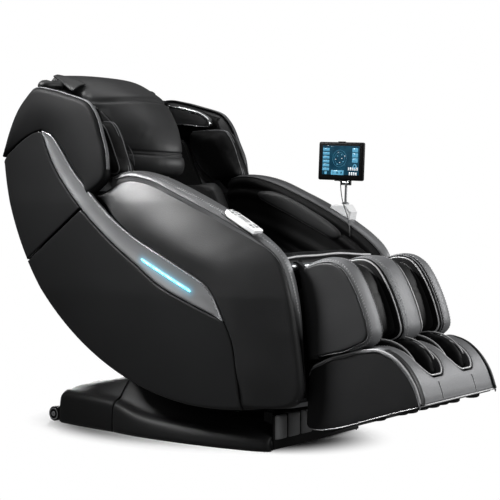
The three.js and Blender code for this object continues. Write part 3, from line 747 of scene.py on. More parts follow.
def make_arm_inside(tag, side):
    """The black leather lining inside the armrest, darkened as painted shade, with rolls and soft creases
    under the band.
    """
    top, low = resample(BAND_IN, 110), resample(INSIDE_LOW, 110)
    v = np.concatenate([[0, 0.02, 0.05], np.linspace(0.08, 1, 40)])
    grid = []
    for k, (a, b) in enumerate(zip(top, low)):
        place = a + (b - a) * v[:, None]
        depth = np.linalg.norm(b - a) * v
        t = k / 109
        rolls = 0.010 * np.abs(np.sin(np.pi * np.clip(depth / 0.036, 0, 2)))
        rolls *= (depth < 0.072) * (1 - smooth((t - 0.78) / 0.12))
        folds = 0.0035 * np.sin(depth * 95 + 5 * t) * smooth((depth - 0.09) / 0.05)
        folds += 0.002 * np.sin(depth * 210 - 9 * t) * smooth((depth - 0.13) / 0.05)
        x = 0.2635 - rolls - folds - 0.006 * smooth(depth / 0.2)
        grid.append(np.column_stack([side * x, place]))
    shell_sheet(f"arm_lining_{tag}", row(np.array(grid)), np.array([side * 0.003, 0, 0]), SHADED_BLACK_LEATHER,
                "cradle")


LEAF = [(0.139, 0.748), (0.118, 0.757), (0.049, 0.750), (-0.020, 0.725), (-0.075, 0.698), (-0.130, 0.665),
        (-0.168, 0.640), (-0.190, 0.618), (-0.184, 0.604), (-0.150, 0.607), (-0.108, 0.626), (-0.050, 0.653),
        (0.009, 0.681), (0.080, 0.712), (0.128, 0.735)]


def make_arm_leaf(tag, side):
    """The long inset pad inside the armrest: a crowned leaf with a piped edge."""
    edge = resample([*LEAF, LEAF[0]], 73)[:-1]
    spine = np.array([(0.06, 0.731), (-0.16, 0.624)])
    reach = spine[1] - spine[0]
    along = np.clip(((edge - spine[0]) @ reach) / (reach @ reach), 0, 1)
    rings = []
    for t, height in ((1.0, 0.0), (0.97, 0.0035), (0.9, 0.0065), (0.75, 0.0085), (0.5, 0.0095), (0.2, 0.010),
                      (0.02, 0.010)):
        foot = spine[0] + along[:, None] * reach
        p = foot + (edge - foot) * t
        rings.append(at_x(side * (0.2575 - height), p))
    pad = ring_loft(f"arm_inset_{tag}", rings, HEAD_LEATHER, "cradle")
    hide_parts(f"arm_pad_{tag}")
    tube(f"arm_inset_piping_{tag}", at_x(side * 0.2560, edge), 0.0020, DARK_PIPING, "cradle", closed=True)


def make_arms():
    for tag, side in SIDES:
        make_band(tag, side)
        make_arm_inside(tag, side)
        make_arm_leaf(tag, side)


make_shell()
make_arms()


# Padded pieces.

def swell(name, vertices, faces, voxel, pressure, cap):
    data = bpy.data.meshes.new(name)
    data.from_pydata([tuple(v) for v in vertices], [], [tuple(f) for f in faces])
    piece = new_object(name, data)
    outward(piece)
    bpy.context.view_layer.objects.active = piece
    remesh = piece.modifiers.new("remesh", "REMESH")
    remesh.mode = "VOXEL"
    remesh.voxel_size = voxel
    bpy.ops.object.modifier_apply(modifier=remesh.name)
    start = np.array([v.co for v in piece.data.vertices])
    cloth = piece.modifiers.new("cloth", "CLOTH")
    cloth.settings.use_pressure = True
    cloth.settings.uniform_pressure_force = pressure
    cloth.settings.effector_weights.gravity = 0
    cloth.settings.quality = 4
    cloth.settings.mass = 0.3
    for number in range(1, 21):
        bpy.context.scene.frame_set(number)
    seen = piece.evaluated_get(bpy.context.evaluated_depsgraph_get())
    moved = np.array([v.co for v in seen.data.vertices]) - start
    length = np.linalg.norm(moved, axis=1)
    moved *= (np.minimum(length, cap) / np.maximum(length, 1e-9))[:, None]
    piece.modifiers.remove(cloth)
    bpy.context.scene.frame_set(1)
    start = start + moved
    data = piece.data
    data.vertices.foreach_set("co", start.astype(np.float32).ravel())
    even = piece.modifiers.new("smooth", "SMOOTH")
    even.iterations = 6
    bpy.ops.object.modifier_apply(modifier=even.name)
    finer = piece.modifiers.new("subdivide", "SUBSURF")
    finer.levels = 1
    bpy.ops.object.modifier_apply(modifier=finer.name)
    points = np.array([v.co for v in piece.data.vertices])
    quads = [tuple(p.vertices) for p in piece.data.polygons]
    bpy.data.objects.remove(piece)
    return points, quads


def cushion(name, rings, material, body, node, voxel=0.006, pressure=4.0, cap=0.012,
            shape=None, paint=None):
    """A padded piece from closed rings: swollen by simulation, then pressed along its seams by shape.

    paint = (material, test) gives the faces whose centre passes the test a second material.
    """
    rings = np.asarray(rings, float)
    count, sides = rings.shape[:2]
    faces = grid_faces(count, sides, closed=True)
    faces += end_caps(count, sides)
    points, quads = swell(name, rings.reshape(-1, 3), faces, voxel, pressure, cap)
    if shape:
        points = shape(points)
    piece = build(name, points, quads, material, body)
    if paint:
        second, test = paint
        piece.data.materials.append(second)
        for polygon in piece.data.polygons:
            if test(polygon.center):
                polygon.material_index = 1
    if node:
        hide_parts(node)
    return piece


def profile_rings(profile, xs, inset):
    """Rings of one (y, z) outline at several x, drawn in towards its centre by inset(x)."""
    p = np.asarray(profile, float)
    toward = unit(p.mean(0) - p)
    rings = []
    for x in xs:
        rings.append(at_x(x, p + toward * inset(x)))
    return rings


def groove(distance, width, depth):
    """Depth of a soft pressed line at a distance from it."""
    return depth * np.exp(-(distance / width) ** 2)


# Head pillow: a wide crowned pad with a roll on top.

PILLOW_FRONT = [(0.300, 0.806), (0.288, 0.822), (0.286, 0.866), (0.322, 0.955), (0.376, 1.026),
                (0.402, 1.056), (0.440, 1.082), (0.520, 1.122), (0.600, 1.138), (0.650, 1.132)]
PILLOW_REAR = [(0.672, 1.110), (0.655, 1.086), (0.600, 1.060), (0.482, 0.980), (0.423, 0.875), (0.396, 0.808),
               (0.345, 0.800)]


def pillow_half(z):
    """The pillow is narrow between the wings and wide above them."""
    return 0.122 + 0.064 * smooth((z - 0.86) / 0.20)


def pillow_back(u, v):
    """How far the front falls back towards the sides; u is across (-1 to 1), v along the front (0 to 1)."""
    return (0.088 + 0.022 * smooth(v / 0.6)) * np.abs(u) ** 2.8


def make_pillow():
    front = resample(PILLOW_FRONT, 46)
    rear = resample(PILLOW_REAR, 24)
    v = np.linspace(0, 1, len(front))
    rings = []
    for u in np.concatenate([[-1, -0.99, -0.965], np.linspace(-0.92, 0.92, 25), [0.965, 0.99, 1]]):
        pinch = 0.014 * (max(0, abs(u) - 0.92) / 0.08) ** 2
        a = front.copy()
        a[:, 0] += pillow_back(u, v) + pinch
        a[:, 0] = np.minimum(a[:, 0], 0.668)
        a[:, 1] -= pinch * smooth((v - 0.6) / 0.3)
        b = rear.copy()
        b[:, 0] = np.minimum(b[:, 0] + 0.3 * pillow_back(u, 0.5), 0.690) - 0.5 * pinch
        ring = np.vstack([a, b])
        half = pillow_half(np.concatenate([front[:, 1], rear[:, 1]]))
        rings.append(at_x(u * half, ring))

    def seams(points):
        y, z = points[:, 1] - SHIFT, points[:, 2]
        u = points[:, 0] / pillow_half(z)
        back = pillow_back(u, 0.4)
        facing = y < 0.345 + back
        for level, width, depth in ((0.8800, 0.0034, 0.0050), (0.8690, 0.0034, 0.0045),
                                    (0.8745, 0.022, 0.0060)):
            points[:, 1] += groove(z - level - 0.008 * u**2, width, depth) * facing
        line = z - (1.066 + 0.30 * (y - 0.414 - back)) + 0.012 * u**2
        upper = (y < 0.56) & (z > 0.98)
        inward = np.array([0, 0.62, -0.78])
        return points + inward * (groove(line, 0.0050, 0.0090) * upper)[:, None]

    cushion("head_pad", rings, HEAD_LEATHER, "cradle", "head_pillow", pressure=3.0,
            cap=0.008, shape=seams)
    for tag, side in SIDES:
        make_pillow_flap(tag, side)
        low = front[3:20]
        edge = np.column_stack([low[:, 0] + pillow_back(0.955, v[3:20]) - 0.002, low[:, 1]])
        path = at_x(side * 0.955 * pillow_half(edge[:, 1]), edge)
        tube(f"pillow_piping_{tag}", resample(path, 50), 0.0022, DARK_PIPING, "cradle")


def make_pillow_flap(tag, side):
    """The cover's side flap: a leather sheet with a free lower edge, over a dark roll at the rear corner."""
    edge = resample([(0.553, 1.083), (0.587, 1.101), (0.615, 1.122), (0.640, 1.137)], 26)
    inner = resample([(0.530, 1.106), (0.565, 1.122), (0.605, 1.134), (0.640, 1.139)], 26)
    grid = []
    for a, b in zip(edge, inner):
        t = np.linspace(0, 1, 7)
        place = b + (a - b) * t[:, None] ** 1.3
        x = 0.160 + 0.036 * t
        place[:, 1] += 0.002 + 0.004 * np.sin(np.pi * t)
        grid.append(np.column_stack([side * x, place]))
    shell_sheet(f"pillow_flap_{tag}", row(np.array(grid)), np.array([0, 0.002, -0.004]), HEAD_LEATHER,
                "cradle")
    tube(f"pillow_flap_edge_{tag}", at_x(side * 0.1965, edge + (0, 0.001)), 0.0022,
         HEAD_LEATHER, "cradle")
    rings = []
    for t in np.linspace(0, 1, 14):
        r = 0.017 * math.sqrt(max(0.03, 1 - abs(2 * t - 1) ** 3))
        q = turn(18)
        centre = (0.622 - 0.006 * t, 1.104 - 0.004 * t)
        squash = 1 + 0.25 * math.sin(9 * t)
        around = np.column_stack([centre[0] + 1.9 * r * np.cos(q), centre[1] + r * squash * np.sin(q)])
        rings.append(at_x(side * (0.182 + 0.100 * t), around))
    ring_loft(f"pillow_roll_{tag}", rings, BLACK_LEATHER, "cradle")


def make_shoulder_piping():
    """Double grey piping down the front edge of each shoulder panel, and the dark return behind it."""
    edge = resample([(0.625, 1.052), (0.582, 1.082), (0.504, 1.070), (0.437, 1.052), (0.362, 1.030),
                     (0.331, 1.007), (0.307, 0.972), (0.287, 0.924), (0.267, 0.875), (0.258, 0.820)], 90)
    middle = np.array([0.46, 0.93])
    for tag, side in SIDES:
        base_x = side_x(edge[:, 0], edge[:, 1]) - edge_roll(edge[:, 1])
        for k, (lift, push) in enumerate(((0.0035, 0.0045), (-0.0035, 0.0035))):
            path = at_x(side * (base_x + lift), edge + unit(edge - middle) * push)
            tube(f"shoulder_piping_{k}_{tag}", path, 0.0028, GREY_LEATHER, "cradle")
        grid = []
        for a, x in zip(edge, base_x):
            inner = a + (middle - a) / np.linalg.norm(middle - a) * 0.030
            t = np.linspace(0, 1, 6)
            place = a + (inner - a) * (t[:, None] ** 1.6)
            grid.append(np.column_stack([side * (x + 0.002 + (0.300 - x) * t * (x > 0.300)), place]))
        shell_sheet(f"shoulder_return_{tag}", row(np.array(grid)), np.array([0, 0.004, -0.003]), SIDE_LEATHER,
                    "cradle")


# Shoulder wings: upright black pads, darkened as painted shade, piped round their thick front edge.

WING = [(0.440, 0.968), (0.380, 0.970), (0.308, 0.968), (0.284, 0.954), (0.262, 0.916), (0.240, 0.860),
        (0.226, 0.822), (0.230, 0.806), (0.252, 0.800), (0.345, 0.800), (0.410, 0.850), (0.440, 0.920)]
WING_X = (0.258, 0.336)


def make_wings():
    middle = sum(WING_X) / 2
    half = (WING_X[1] - WING_X[0]) / 2
    # Each piping's x, how deep it lies, its radius and its material.
    lines = ((WING_X[0] + 0.030, 0, 0.0028, GREY_LEATHER), (WING_X[0] + 0.040, 0, 0.0018, GREY_LEATHER),
             (WING_X[1] - 0.004, 0.010, 0.0024, DARK_PIPING))
    for tag, side in SIDES:
        outline = resample([*WING, WING[0]], 61)[:-1]
        xs = [side * (middle + half * k) for k in (-1, -0.92, -0.7, -0.35, 0, 0.35, 0.7, 0.92, 1)]
        inset = lambda x: 0.016 * abs((abs(x) - middle) / half) ** 4
        cushion(f"wing_{tag}", profile_rings(outline, xs, inset), SHADED_BLACK_LEATHER, "cradle",
                f"wing_pad_{tag}", voxel=0.005, pressure=2.5, cap=0.006)
        front = resample(WING[:10], 80)
        to_core = unit(np.array([0.36, 0.90]) - front)
        for k, (x, depth, radius, material) in enumerate(lines):
            path = at_x(side * x, front + to_core * depth)
            tube(f"wing_piping_{k}_{tag}", path, radius, material, "cradle")
        make_wing_top(tag, side)


def make_wing_top(tag, side):
    """The black inner wall above the wing that carries the speaker; its leather is darkened as painted shade.
    """
    low = resample([(0.690, 0.940), (0.600, 0.945), (0.500, 0.948), (0.400, 0.952), (0.320, 0.958)], 50)
    high = resample([(0.640, 1.030), (0.585, 1.072), (0.504, 1.066), (0.437, 1.048), (0.350, 1.018)], 50)
    grid = []
    for a, b in zip(low, high):
        t = np.concatenate([np.linspace(0, 0.75, 8), [0.85, 0.92, 0.97, 1.0]])
        place = a + (b - a) * t[:, None]
        outer = side_x(b[0], b[1]) - edge_roll(b[1]) - 0.002
        x = 0.298 + (outer - 0.298) * np.clip((t - 0.8) / 0.2, 0, 1) ** 2
        grid.append(np.column_stack([side * x, place]))
    shell_sheet(f"shoulder_inner_{tag}", row(np.array(grid)), np.array([side * 0.006, 0, 0]), SHADED_BLACK_LEATHER,
                "cradle")


SPEAKER = [(0.549, 1.064), (0.480, 1.056), (0.420, 1.041), (0.377, 1.020), (0.361, 1.002), (0.364, 0.984),
           (0.395, 0.984), (0.449, 0.990), (0.524, 0.999), (0.536, 1.010), (0.546, 1.040)]


SPEAKER_CENTRE = (0.452, 1.020)


def make_speakers():
    for tag, side in SIDES:
        edge = resample([*SPEAKER, SPEAKER[0]], 97)[:-1]
        centre = np.array(SPEAKER_CENTRE)
        above = smooth((edge[:, 1] - 0.986 - 0.10 * (edge[:, 0] - 0.364)) / 0.03)
        wide = 0.0040 + 0.0105 * above * smooth((0.540 - edge[:, 0]) / 0.03)
        toward = unit(centre - edge)
        rings = []
        for inset, x in ((0, 0.300), (0.0, 0.282), (0.12, 0.2795), (0.5, 0.2785), (0.88, 0.2795),
                         (1.0, 0.2830), (1.0, 0.299)):
            rings.append(at_x(side * x, edge + toward * (wide * inset)[:, None]))
        frame_piece = ring_loft(f"speaker_frame_{tag}", rings, SILVER_BRIGHT, "cradle",
                                caps=False)
        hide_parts(f"speaker_{tag}")
        cloth = []
        for k, x in ((1.0, 0.285), (0.7, 0.2835), (0.35, 0.2828), (0.03, 0.2826)):
            cloth.append(at_x(side * x, centre + (edge + toward * wide[:, None] - centre) * k))
        ring_loft(f"speaker_grille_{tag}", [cloth[0] + (side * 0.006, 0, 0), *cloth], GRILLE, "cradle")


# Back and seat.

LEAN = math.radians(27)


def back_point(s, n):
    """The (y, z) of a point s up the leaning back and n out from it."""
    return (0.277 + s * math.sin(LEAN) - n * math.cos(LEAN), 0.806 + s * math.cos(LEAN) + n * math.sin(LEAN))


def make_back():
    outline = [(-0.350, -0.100), (-0.352, -0.040), (-0.340, -0.014), (-0.260, -0.006), (-0.180, 0.000),
               (-0.060, -0.002), (-0.016, -0.012), (-0.008, -0.030), (-0.008, -0.100)]
    profile = resample([back_point(s, n) for s, n in outline], 60)
    xs = np.concatenate([[-0.221, -0.218], np.linspace(-0.208, 0.208, 15), [0.218, 0.221]])
    rings = profile_rings(profile, xs, lambda x: 0.012 * max(0, (abs(x) - 0.200) / 0.021) ** 2)
    normal = np.array([0, -math.cos(LEAN), math.sin(LEAN)])
    origin = row([(0, *back_point(0, 0))])[0]

    def channels(points):
        s = (points - origin) @ np.array([0, math.sin(LEAN), math.cos(LEAN)])
        n = (points - origin) @ normal
        front = smooth((n + 0.05) / 0.03)
        x = np.abs(points[:, 0])
        depth = groove(x - 0.135, 0.006, 0.014) + groove(s + 0.17, 0.007, 0.010) * (x < 0.135)
        bolster = 0.008 * np.sin(np.pi * np.clip((x - 0.135) / 0.085, 0, 1))
        return points - normal * ((depth - bolster) * front)[:, None]

    # The centre takes the darkened black leather (painted shade), the bolsters plain black leather.
    cushion("back_pad", rings, SHADED_BLACK_LEATHER, "cradle", "back_cushion",
            cap=0.014, shape=channels, paint=(BLACK_LEATHER, lambda c: abs(c.x) > 0.135))


SEAT = [(-0.312, 0.500), (-0.316, 0.535), (-0.306, 0.556), (-0.280, 0.562), (-0.150, 0.545), (0.000, 0.508),
        (0.080, 0.478), (0.098, 0.462), (0.092, 0.414), (0.000, 0.438), (-0.150, 0.466), (-0.290, 0.488)]


def make_seat():
    profile = resample([*SEAT, SEAT[0]], 81)[:-1]
    xs = np.concatenate([[-0.243, -0.239], np.linspace(-0.228, 0.228, 15), [0.239, 0.243]])
    rings = profile_rings(profile, xs, lambda x: 0.010 * max(0, (abs(x) - 0.220) / 0.023) ** 2)

    def channels(points):
        y, x = points[:, 1] - SHIFT, np.abs(points[:, 0])
        top = smooth((points[:, 2] - (0.530 - 0.20 * np.maximum(0, y + 0.15))) / 0.02)
        depth = groove(x - 0.150 - 0.02 * np.sin(9 * y), 0.006, 0.010)
        depth += groove(y + 0.13, 0.006, 0.008) * (x < 0.15)
        wave = 0.0020 * np.sin(38 * y + 16 * points[:, 0]) * np.sin(23 * points[:, 0] + 2)
        points[:, 2] += (wave - depth) * top
        return points

    # The seat takes the darkened black leather: painted shade.
    cushion("seat_pad", rings, SHADED_BLACK_LEATHER, "cradle", "seat_cushion",
            cap=0.012, shape=channels)
    x = np.linspace(-0.236, 0.236, 60)
    edge = row(np.column_stack([x, -0.3105 + 0.004 * np.cos(9 * x),
                                0.5640 - 0.22 * x**2 * 0.6 + 0.0015 * np.sin(26 * x)]))
    tube("seat_piping", edge, 0.0034, PIPING, "cradle")


make_pillow()
make_shoulder_piping()
make_wings()
make_speakers()
make_back()
make_seat()


# Leg unit.

LEG_TOP = np.array([-0.366, 0.530])
LEG_END = np.array([-0.397, 0.275])
RIM = [(-0.376, 0.528), (-0.400, 0.541), (-0.440, 0.553), (-0.480, 0.552), (-0.512, 0.534), (-0.536, 0.504),
       (-0.556, 0.468), (-0.575, 0.425), (-0.588, 0.385), (-0.593, 0.355), (-0.582, 0.335), (-0.556, 0.322),
       (-0.510, 0.304), (-0.420, 0.284)]


def offset(path, distance):
    """Moves a (y, z) path sideways by a distance, towards the leg's inside when positive."""
    normal = path_normals(path)
    if normal[len(path) // 3] @ (np.array([-0.44, 0.42]) - path[len(path) // 3]) < 0:
        normal = -normal
    return path + normal * np.reshape(distance, (-1, 1))


CALF_CROWN = 0.010
# Piping and stitch lines across each wall's strip: place across it, material and radius.
CALF_LINES = {
    "R": ((0.02, DARK_PIPING, 0.0020), (0.80, DARK_PIPING, 0.0014), (0.975, PIPING, 0.0026)),
    "C": ((0.025, PIPING, 0.0024), (0.10, GREY_LEATHER, 0.0018), (0.84, DARK_PIPING, 0.0014),
          (0.975, PIPING, 0.0026)),
    "L": ((0.025, PIPING, 0.0024), (0.12, GREY_LEATHER, 0.0018), (0.98, DARK_PIPING, 0.0020)),
}
CALF_STITCHES = {"R": (0.07, 0.11, 0.75), "C": (0.20, 0.24, 0.79), "L": (0.24, 0.28, 0.92)}


def crown_fade(count):
    """How much of the crown is left along the rim: all of it, then none towards the foot."""
    return 1 - smooth((np.linspace(0, 1, count) - 0.74) / 0.10)


def rim_strip(name, path, x0, x1, crown, skirts, node):
    """A crowned strip over a wall's rim: rounded edges, and a skirt down each side."""
    u = np.concatenate([[0, 0, 0.015, 0.06], np.linspace(0.14, 0.86, 9), [0.94, 0.985, 1, 1]])
    sink = np.concatenate([[-skirts[0], -0.009, -0.004, -0.0012], np.zeros(9),
                           [-0.0012, -0.004, -0.009, -skirts[1]]])
    fade = crown_fade(len(path))
    grid = []
    for k in range(len(u)):
        lifted = offset(path, -(crown * fade * (1 - (2 * u[k] - 1) ** 2) + sink[k]))
        grid.append(np.column_stack([np.full(len(path), x0 + (x1 - x0) * u[k]), lifted]))
    grid = row(np.array(grid).transpose(1, 0, 2))
    under = at_x(0, offset(path, 0.008)) - at_x(0, path)
    piece = shell_sheet(name, grid, under[:, None, :], GREY_LEATHER, "leg")
    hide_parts(node)
    return piece


def make_leg_walls():
    path = resample(RIM, 90)
    fade = crown_fade(90)
    for tag, x0, x1 in (("R", -0.2385, -0.1640), ("C", -0.0650, 0.0650), ("L", 0.1640, 0.2385)):
        skirts = {"R": (0.010, 0.055), "C": (0.055, 0.055), "L": (0.055, 0.010)}[tag]
        strip = rim_strip(f"calf_strip_{tag}", path, x0, x1, CALF_CROWN, skirts, f"calf_wall_{tag}")
        width = x1 - x0
        paint_channel_sides(strip, x0, x1, tag)
        for k, (place, material, radius) in enumerate(CALF_LINES[tag]):
            sunk = 0.006 * max(0, 1 - min(place, 1 - place) / 0.06)
            up = CALF_CROWN * (1 - (2 * place - 1) ** 2) + 0.0006 - sunk
            line = at_x(x0 + width * place, offset(path, -up * fade))
            tube(f"calf_piping_{k}_{tag}", line[3:-2], radius, material, "leg")
        for k, place in enumerate(CALF_STITCHES[tag]):
            up = CALF_CROWN * (1 - (2 * place - 1) ** 2) + 0.0004
            line = at_x(x0 + width * place, offset(path, -up * fade))
            stitches(f"calf_stitch_{k}_{tag}", line[4:-3], "leg")
        make_wall_body(tag, x0, x1)


def paint_channel_sides(strip, x0, x1, tag):
    """The rounded edges towards the channels are black leather, darkened there as painted shade."""
    strip.data.materials.append(SHADED_BLACK_LEATHER)
    low, high = {"R": (-1, 0.80), "C": (0.16, 0.84), "L": (0.20, 2)}[tag]
    for polygon in strip.data.polygons:
        u = (polygon.center.x - x0) / (x1 - x0)
        if u < low or u > high:
            polygon.material_index = 1


def make_wall_body(tag, x0, x1):
    """The black leather cheeks under a strip, the inner ones crowned; the outer walls' outer cheeks are full
    side faces.
    """
    plate = np.linspace(LEG_TOP + (0.004, -0.006), LEG_END + (0, 0.004), 90)
    for k, x in enumerate((x0, x1)):
        face_out = abs(x) > 0.2
        rim = offset(resample(RIM, 90), 0.0035 if face_out else 0.012)
        outward_side = 1 if x > 0 else -1
        sign = outward_side if face_out or tag == "C" else -outward_side
        reach = outward_side * sign * (abs(x) + 0.003 * face_out)
        panel(f"calf_cheek_{k}_{tag}", rim, plate, sign, SIDE_LEATHER if face_out else BLACK_LEATHER, "leg",
              columns=60, rolls=(0.008, 0.006), ends=0.006,
              crown=0.003 * (not face_out), depth=0.012, x_of=lambda y, z, x=reach: np.full_like(y, x))


def make_calf_channels():
    """Rounded black pads, darkened as painted shade, that line the two calf channels."""
    crest = [(-0.392, 0.534), (-0.432, 0.546), (-0.472, 0.544), (-0.502, 0.526), (-0.524, 0.497),
             (-0.542, 0.460), (-0.556, 0.418), (-0.565, 0.378), (-0.563, 0.348), (-0.538, 0.331),
             (-0.480, 0.314), (-0.420, 0.296)]
    for tag, side in SIDES:
        path = resample(crest, 60)
        xs = np.linspace(0.0670, 0.1620, 15)
        rings = []
        for x in xs:
            u = (x - 0.1145) / 0.0475
            sink = 0.012 * abs(u) ** 2.4 + 0.010 * max(0, (abs(u) - 0.85) / 0.15) ** 2
            top = offset(path, sink)
            low = np.linspace(LEG_END + (-0.018, 0.010), LEG_TOP + (-0.018, -0.010), 16)
            ring = np.vstack([top, low])
            rings.append(at_x(side * x, ring))

        def dimple(points):
            y, z = points[:, 1] - SHIFT, points[:, 2]
            across = groove(z - 0.475 - 0.25 * (y + 0.50), 0.012, 0.003)
            inward = across * (y < -0.45)
            points[:, 1] += inward * 0.8
            points[:, 2] -= inward * 0.5
            return points

        cushion(f"calf_pad_{tag}", rings, SHADED_BLACK_LEATHER, "leg", None, voxel=0.005,
                pressure=3.0, cap=0.007, shape=dimple)


# Foot unit.

FOOT_TOP = [(-0.392, 0.236), (-0.402, 0.255), (-0.430, 0.271), (-0.462, 0.285), (-0.526, 0.303),
            (-0.580, 0.316), (-0.620, 0.316), (-0.662, 0.301), (-0.700, 0.270), (-0.727, 0.232),
            (-0.742, 0.195), (-0.748, 0.172)]
FOOT_UNDER = [(-0.748, 0.172), (-0.735, 0.166), (-0.684, 0.151), (-0.590, 0.121), (-0.500, 0.092),
              (-0.434, 0.078), (-0.390, 0.078), (-0.379, 0.090)]
WELL_X = (0.030, 0.150)
WELL_END = -0.716
WELL_CORNER = 0.040
FOOT_SIDE_X = 0.2275


def well_distance(x, y):
    """How far a point lies inside the nearest round-cornered well, seen from above; negative outside."""
    middle, half = sum(WELL_X) / 2, (WELL_X[1] - WELL_X[0]) / 2
    across = np.abs(np.abs(x) - middle) - half + WELL_CORNER
    ahead = WELL_END - y + WELL_CORNER
    outside = np.hypot(np.maximum(across, 0), np.maximum(ahead, 0))
    return WELL_CORNER - outside - np.minimum(np.maximum(across, ahead), 0)


def make_foot_cover():
    top = resample(FOOT_TOP, 190)
    half = 0.229
    u = np.linspace(-1, 1, 231)[None, :]
    x = half * u
    y = top[:, :1] + 0 * u
    depth = well_distance(x, y)
    fall = smooth((depth + 0.010) / 0.022) * 0.145
    pillow = 0.0035 * np.sin(np.pi * np.clip(-depth / 0.030, 0, 1) * 0.5)
    edge = roll_in(half - np.abs(x), 0.010)
    ripple = 0.0010 * np.sin(90 * y + 6 * u) * smooth((-0.66 - y) / -0.03)
    z = top[:, 1:2] - fall + pillow - edge + ripple * (depth < -0.012)
    floor = 0.118 + 0.28 * (-0.52 - y)
    z = np.where(fall > 0.02, np.maximum(z, floor), z)
    grid = row(np.stack([x + 0 * y, y, z], -1))
    cover = shell_sheet("foot_cover", grid, np.array([0, 0.004, -0.006]), GREY_LEATHER, "foot")
    # Inside the wells: black leather darkened as painted shade.
    cover.data.materials.append(SHADED_BLACK_LEATHER)
    for polygon in cover.data.polygons:
        c = polygon.center
        if well_distance(c.x, c.y - SHIFT) > -0.0005:
            polygon.material_index = 1
    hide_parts("foot_shell")


def top_height(y):
    """Height of the foot unit's top at y."""
    path = resample(FOOT_TOP, 300)
    return np.interp(-np.asarray(y), -path[:, 0], path[:, 1])


def u_path(side, spread, start):
    """Seen from above, the well's outline moved outwards by spread."""
    x0, x1 = WELL_X[0] - spread, WELL_X[1] + spread
    end, r = WELL_END - spread, WELL_CORNER + spread
    q = np.linspace(0, np.pi / 2, 20)
    points = [(x0, y) for y in np.linspace(start, end + r, 30)[:-1]]
    points += [(x0 + r * (1 - math.cos(a)), end + r * (1 - math.sin(a))) for a in q]
    points += [(x, end) for x in np.linspace(x0 + r, x1 - r, 8)[1:-1]]
    points += [(x1 - r * (1 - math.sin(a)), end + r * (1 - math.cos(a))) for a in q]
    points += [(x1, y) for y in np.linspace(end + r, start, 30)[1:]]
    return np.array([(side * px, py, 0) for px, py in points])


def make_foot_trim():
    for tag, side in SIDES:
        p = u_path(side, 0.003, -0.470)
        p[:, 2] = top_height(p[:, 1]) - 0.003
        tube(f"well_piping_0_{tag}", row(p), 0.0026, PIPING, "foot")
        p = u_path(side, 0.012, -0.480)
        p[:, 2] = top_height(p[:, 1]) + 0.0022
        stitches(f"well_stitch_{tag}", row(p), "foot")
        front = np.linspace(WELL_END - 0.016, -0.747, 24)
        middle = sum(WELL_X) / 2
        seam = np.column_stack([np.full(24, side * (middle + 0.010)), front, top_height(front) + 0.003])
        tube(f"toe_seam_{tag}", row(seam), 0.0011, DARK_PIPING, "foot")
        for k, dx in enumerate((-0.004, 0.004)):
            stitches(f"toe_stitch_{k}_{tag}", row(seam + (dx, 0, 0.0003)), "foot")
        edge = resample(FOOT_TOP, 120)[6:-2]
        tube(f"foot_piping_0_{tag}", at_x(side * 0.2262, edge - (0, 0.0030)), 0.0026, PIPING, "foot")
        stitches(f"foot_stitch_{tag}", at_x(side * 0.2140, edge + (0, 0.0030)), "foot")
    x = np.linspace(-0.226, 0.226, 60)
    bottom = row(np.column_stack([x, np.full(60, -0.7465), np.full(60, 0.1715)]))
    tube("toe_piping", bottom, 0.0028, PIPING, "foot")


def make_foot_sides():
    raised = offset(resample(FOOT_TOP, 90), 0.0045)
    upper = resample([(-0.386, 0.170), *raised[1:]], 90)
    under = resample(FOOT_UNDER, 90)[::-1]
    for tag, side in SIDES:
        panel(f"foot_side_{tag}", upper, under, side, FOOT_LEATHER, "foot", columns=80,
              rows=14, rolls=(0.008, 0.006), ends=0.006, crown=0.001, depth=0.014,
              x_of=lambda y, z: np.full_like(y, FOOT_SIDE_X))
        low = resample(FOOT_UNDER, 60)[2:-4]
        tube(f"foot_low_piping_{tag}", at_x(side * FOOT_SIDE_X, low + (0, 0.001)), 0.0016, PIPING, "foot")


def make_well_liners():
    """Puffy black pads, darkened as painted shade, along each wall of the foot wells, with a light piping
    along their crests.
    """
    crest = [(-0.420, 0.262), (-0.455, 0.290), (-0.500, 0.314), (-0.552, 0.331), (-0.602, 0.331),
             (-0.644, 0.315), (-0.676, 0.285), (-0.696, 0.245)]
    low = [(-0.684, 0.195), (-0.580, 0.168), (-0.450, 0.140), (-0.418, 0.170)]
    outline = np.vstack([resample(crest, 40), resample(low, 20)])
    for tag, side in SIDES:
        for k, (x0, x1) in enumerate(((0.0325, 0.0600), (0.1200, 0.1475))):
            xs = [side * v for v in np.linspace(x0, x1, 7)]
            middle = side * (x0 + x1) / 2
            inset = lambda x, middle=middle: 0.010 * (abs(x - middle) / 0.014) ** 2.2
            cushion(f"well_pad_{k}_{tag}", profile_rings(outline, xs, inset), SHADED_BLACK_LEATHER, "foot",
                    None, voxel=0.004, pressure=2.0, cap=0.004)
            line = offset(resample(crest, 60), 0.0015)[:-6]
            x = x0 + 0.004 if k == 0 else x1 - 0.004
            tube(f"well_pad_piping_{k}_{tag}", at_x(side * x, line), 0.0024, PIPING, "foot")


def make_foot_tray():
    """Dark tray pieces under the foot cover."""
    places = [(x, y) for x in (-0.185, -0.06, 0.06, 0.185) for y in (-0.690, -0.590)]
    section = ((0.012, 0.004), (0.024, 0.002), (0.026, -0.003), (0.025, -0.008), (0.021, -0.0105),
               (0.012, -0.011))
    q = turn(24)
    for k, (x, y) in enumerate(places):
        z = 0.1545 + 0.30 * (-0.684 - y)
        rings = []
        for r, h in section:
            around = [x + r * 1.2 * np.cos(q), y + r * 0.8 * np.sin(q), np.full(24, z + h)]
            rings.append(row(np.column_stack(around)))
        ring_loft(f"tray_pad_{k}", rings, RUBBER, "foot")


make_leg_walls()
make_calf_channels()
make_foot_cover()
make_foot_trim()
make_foot_sides()
make_well_liners()
make_foot_tray()


# Base.

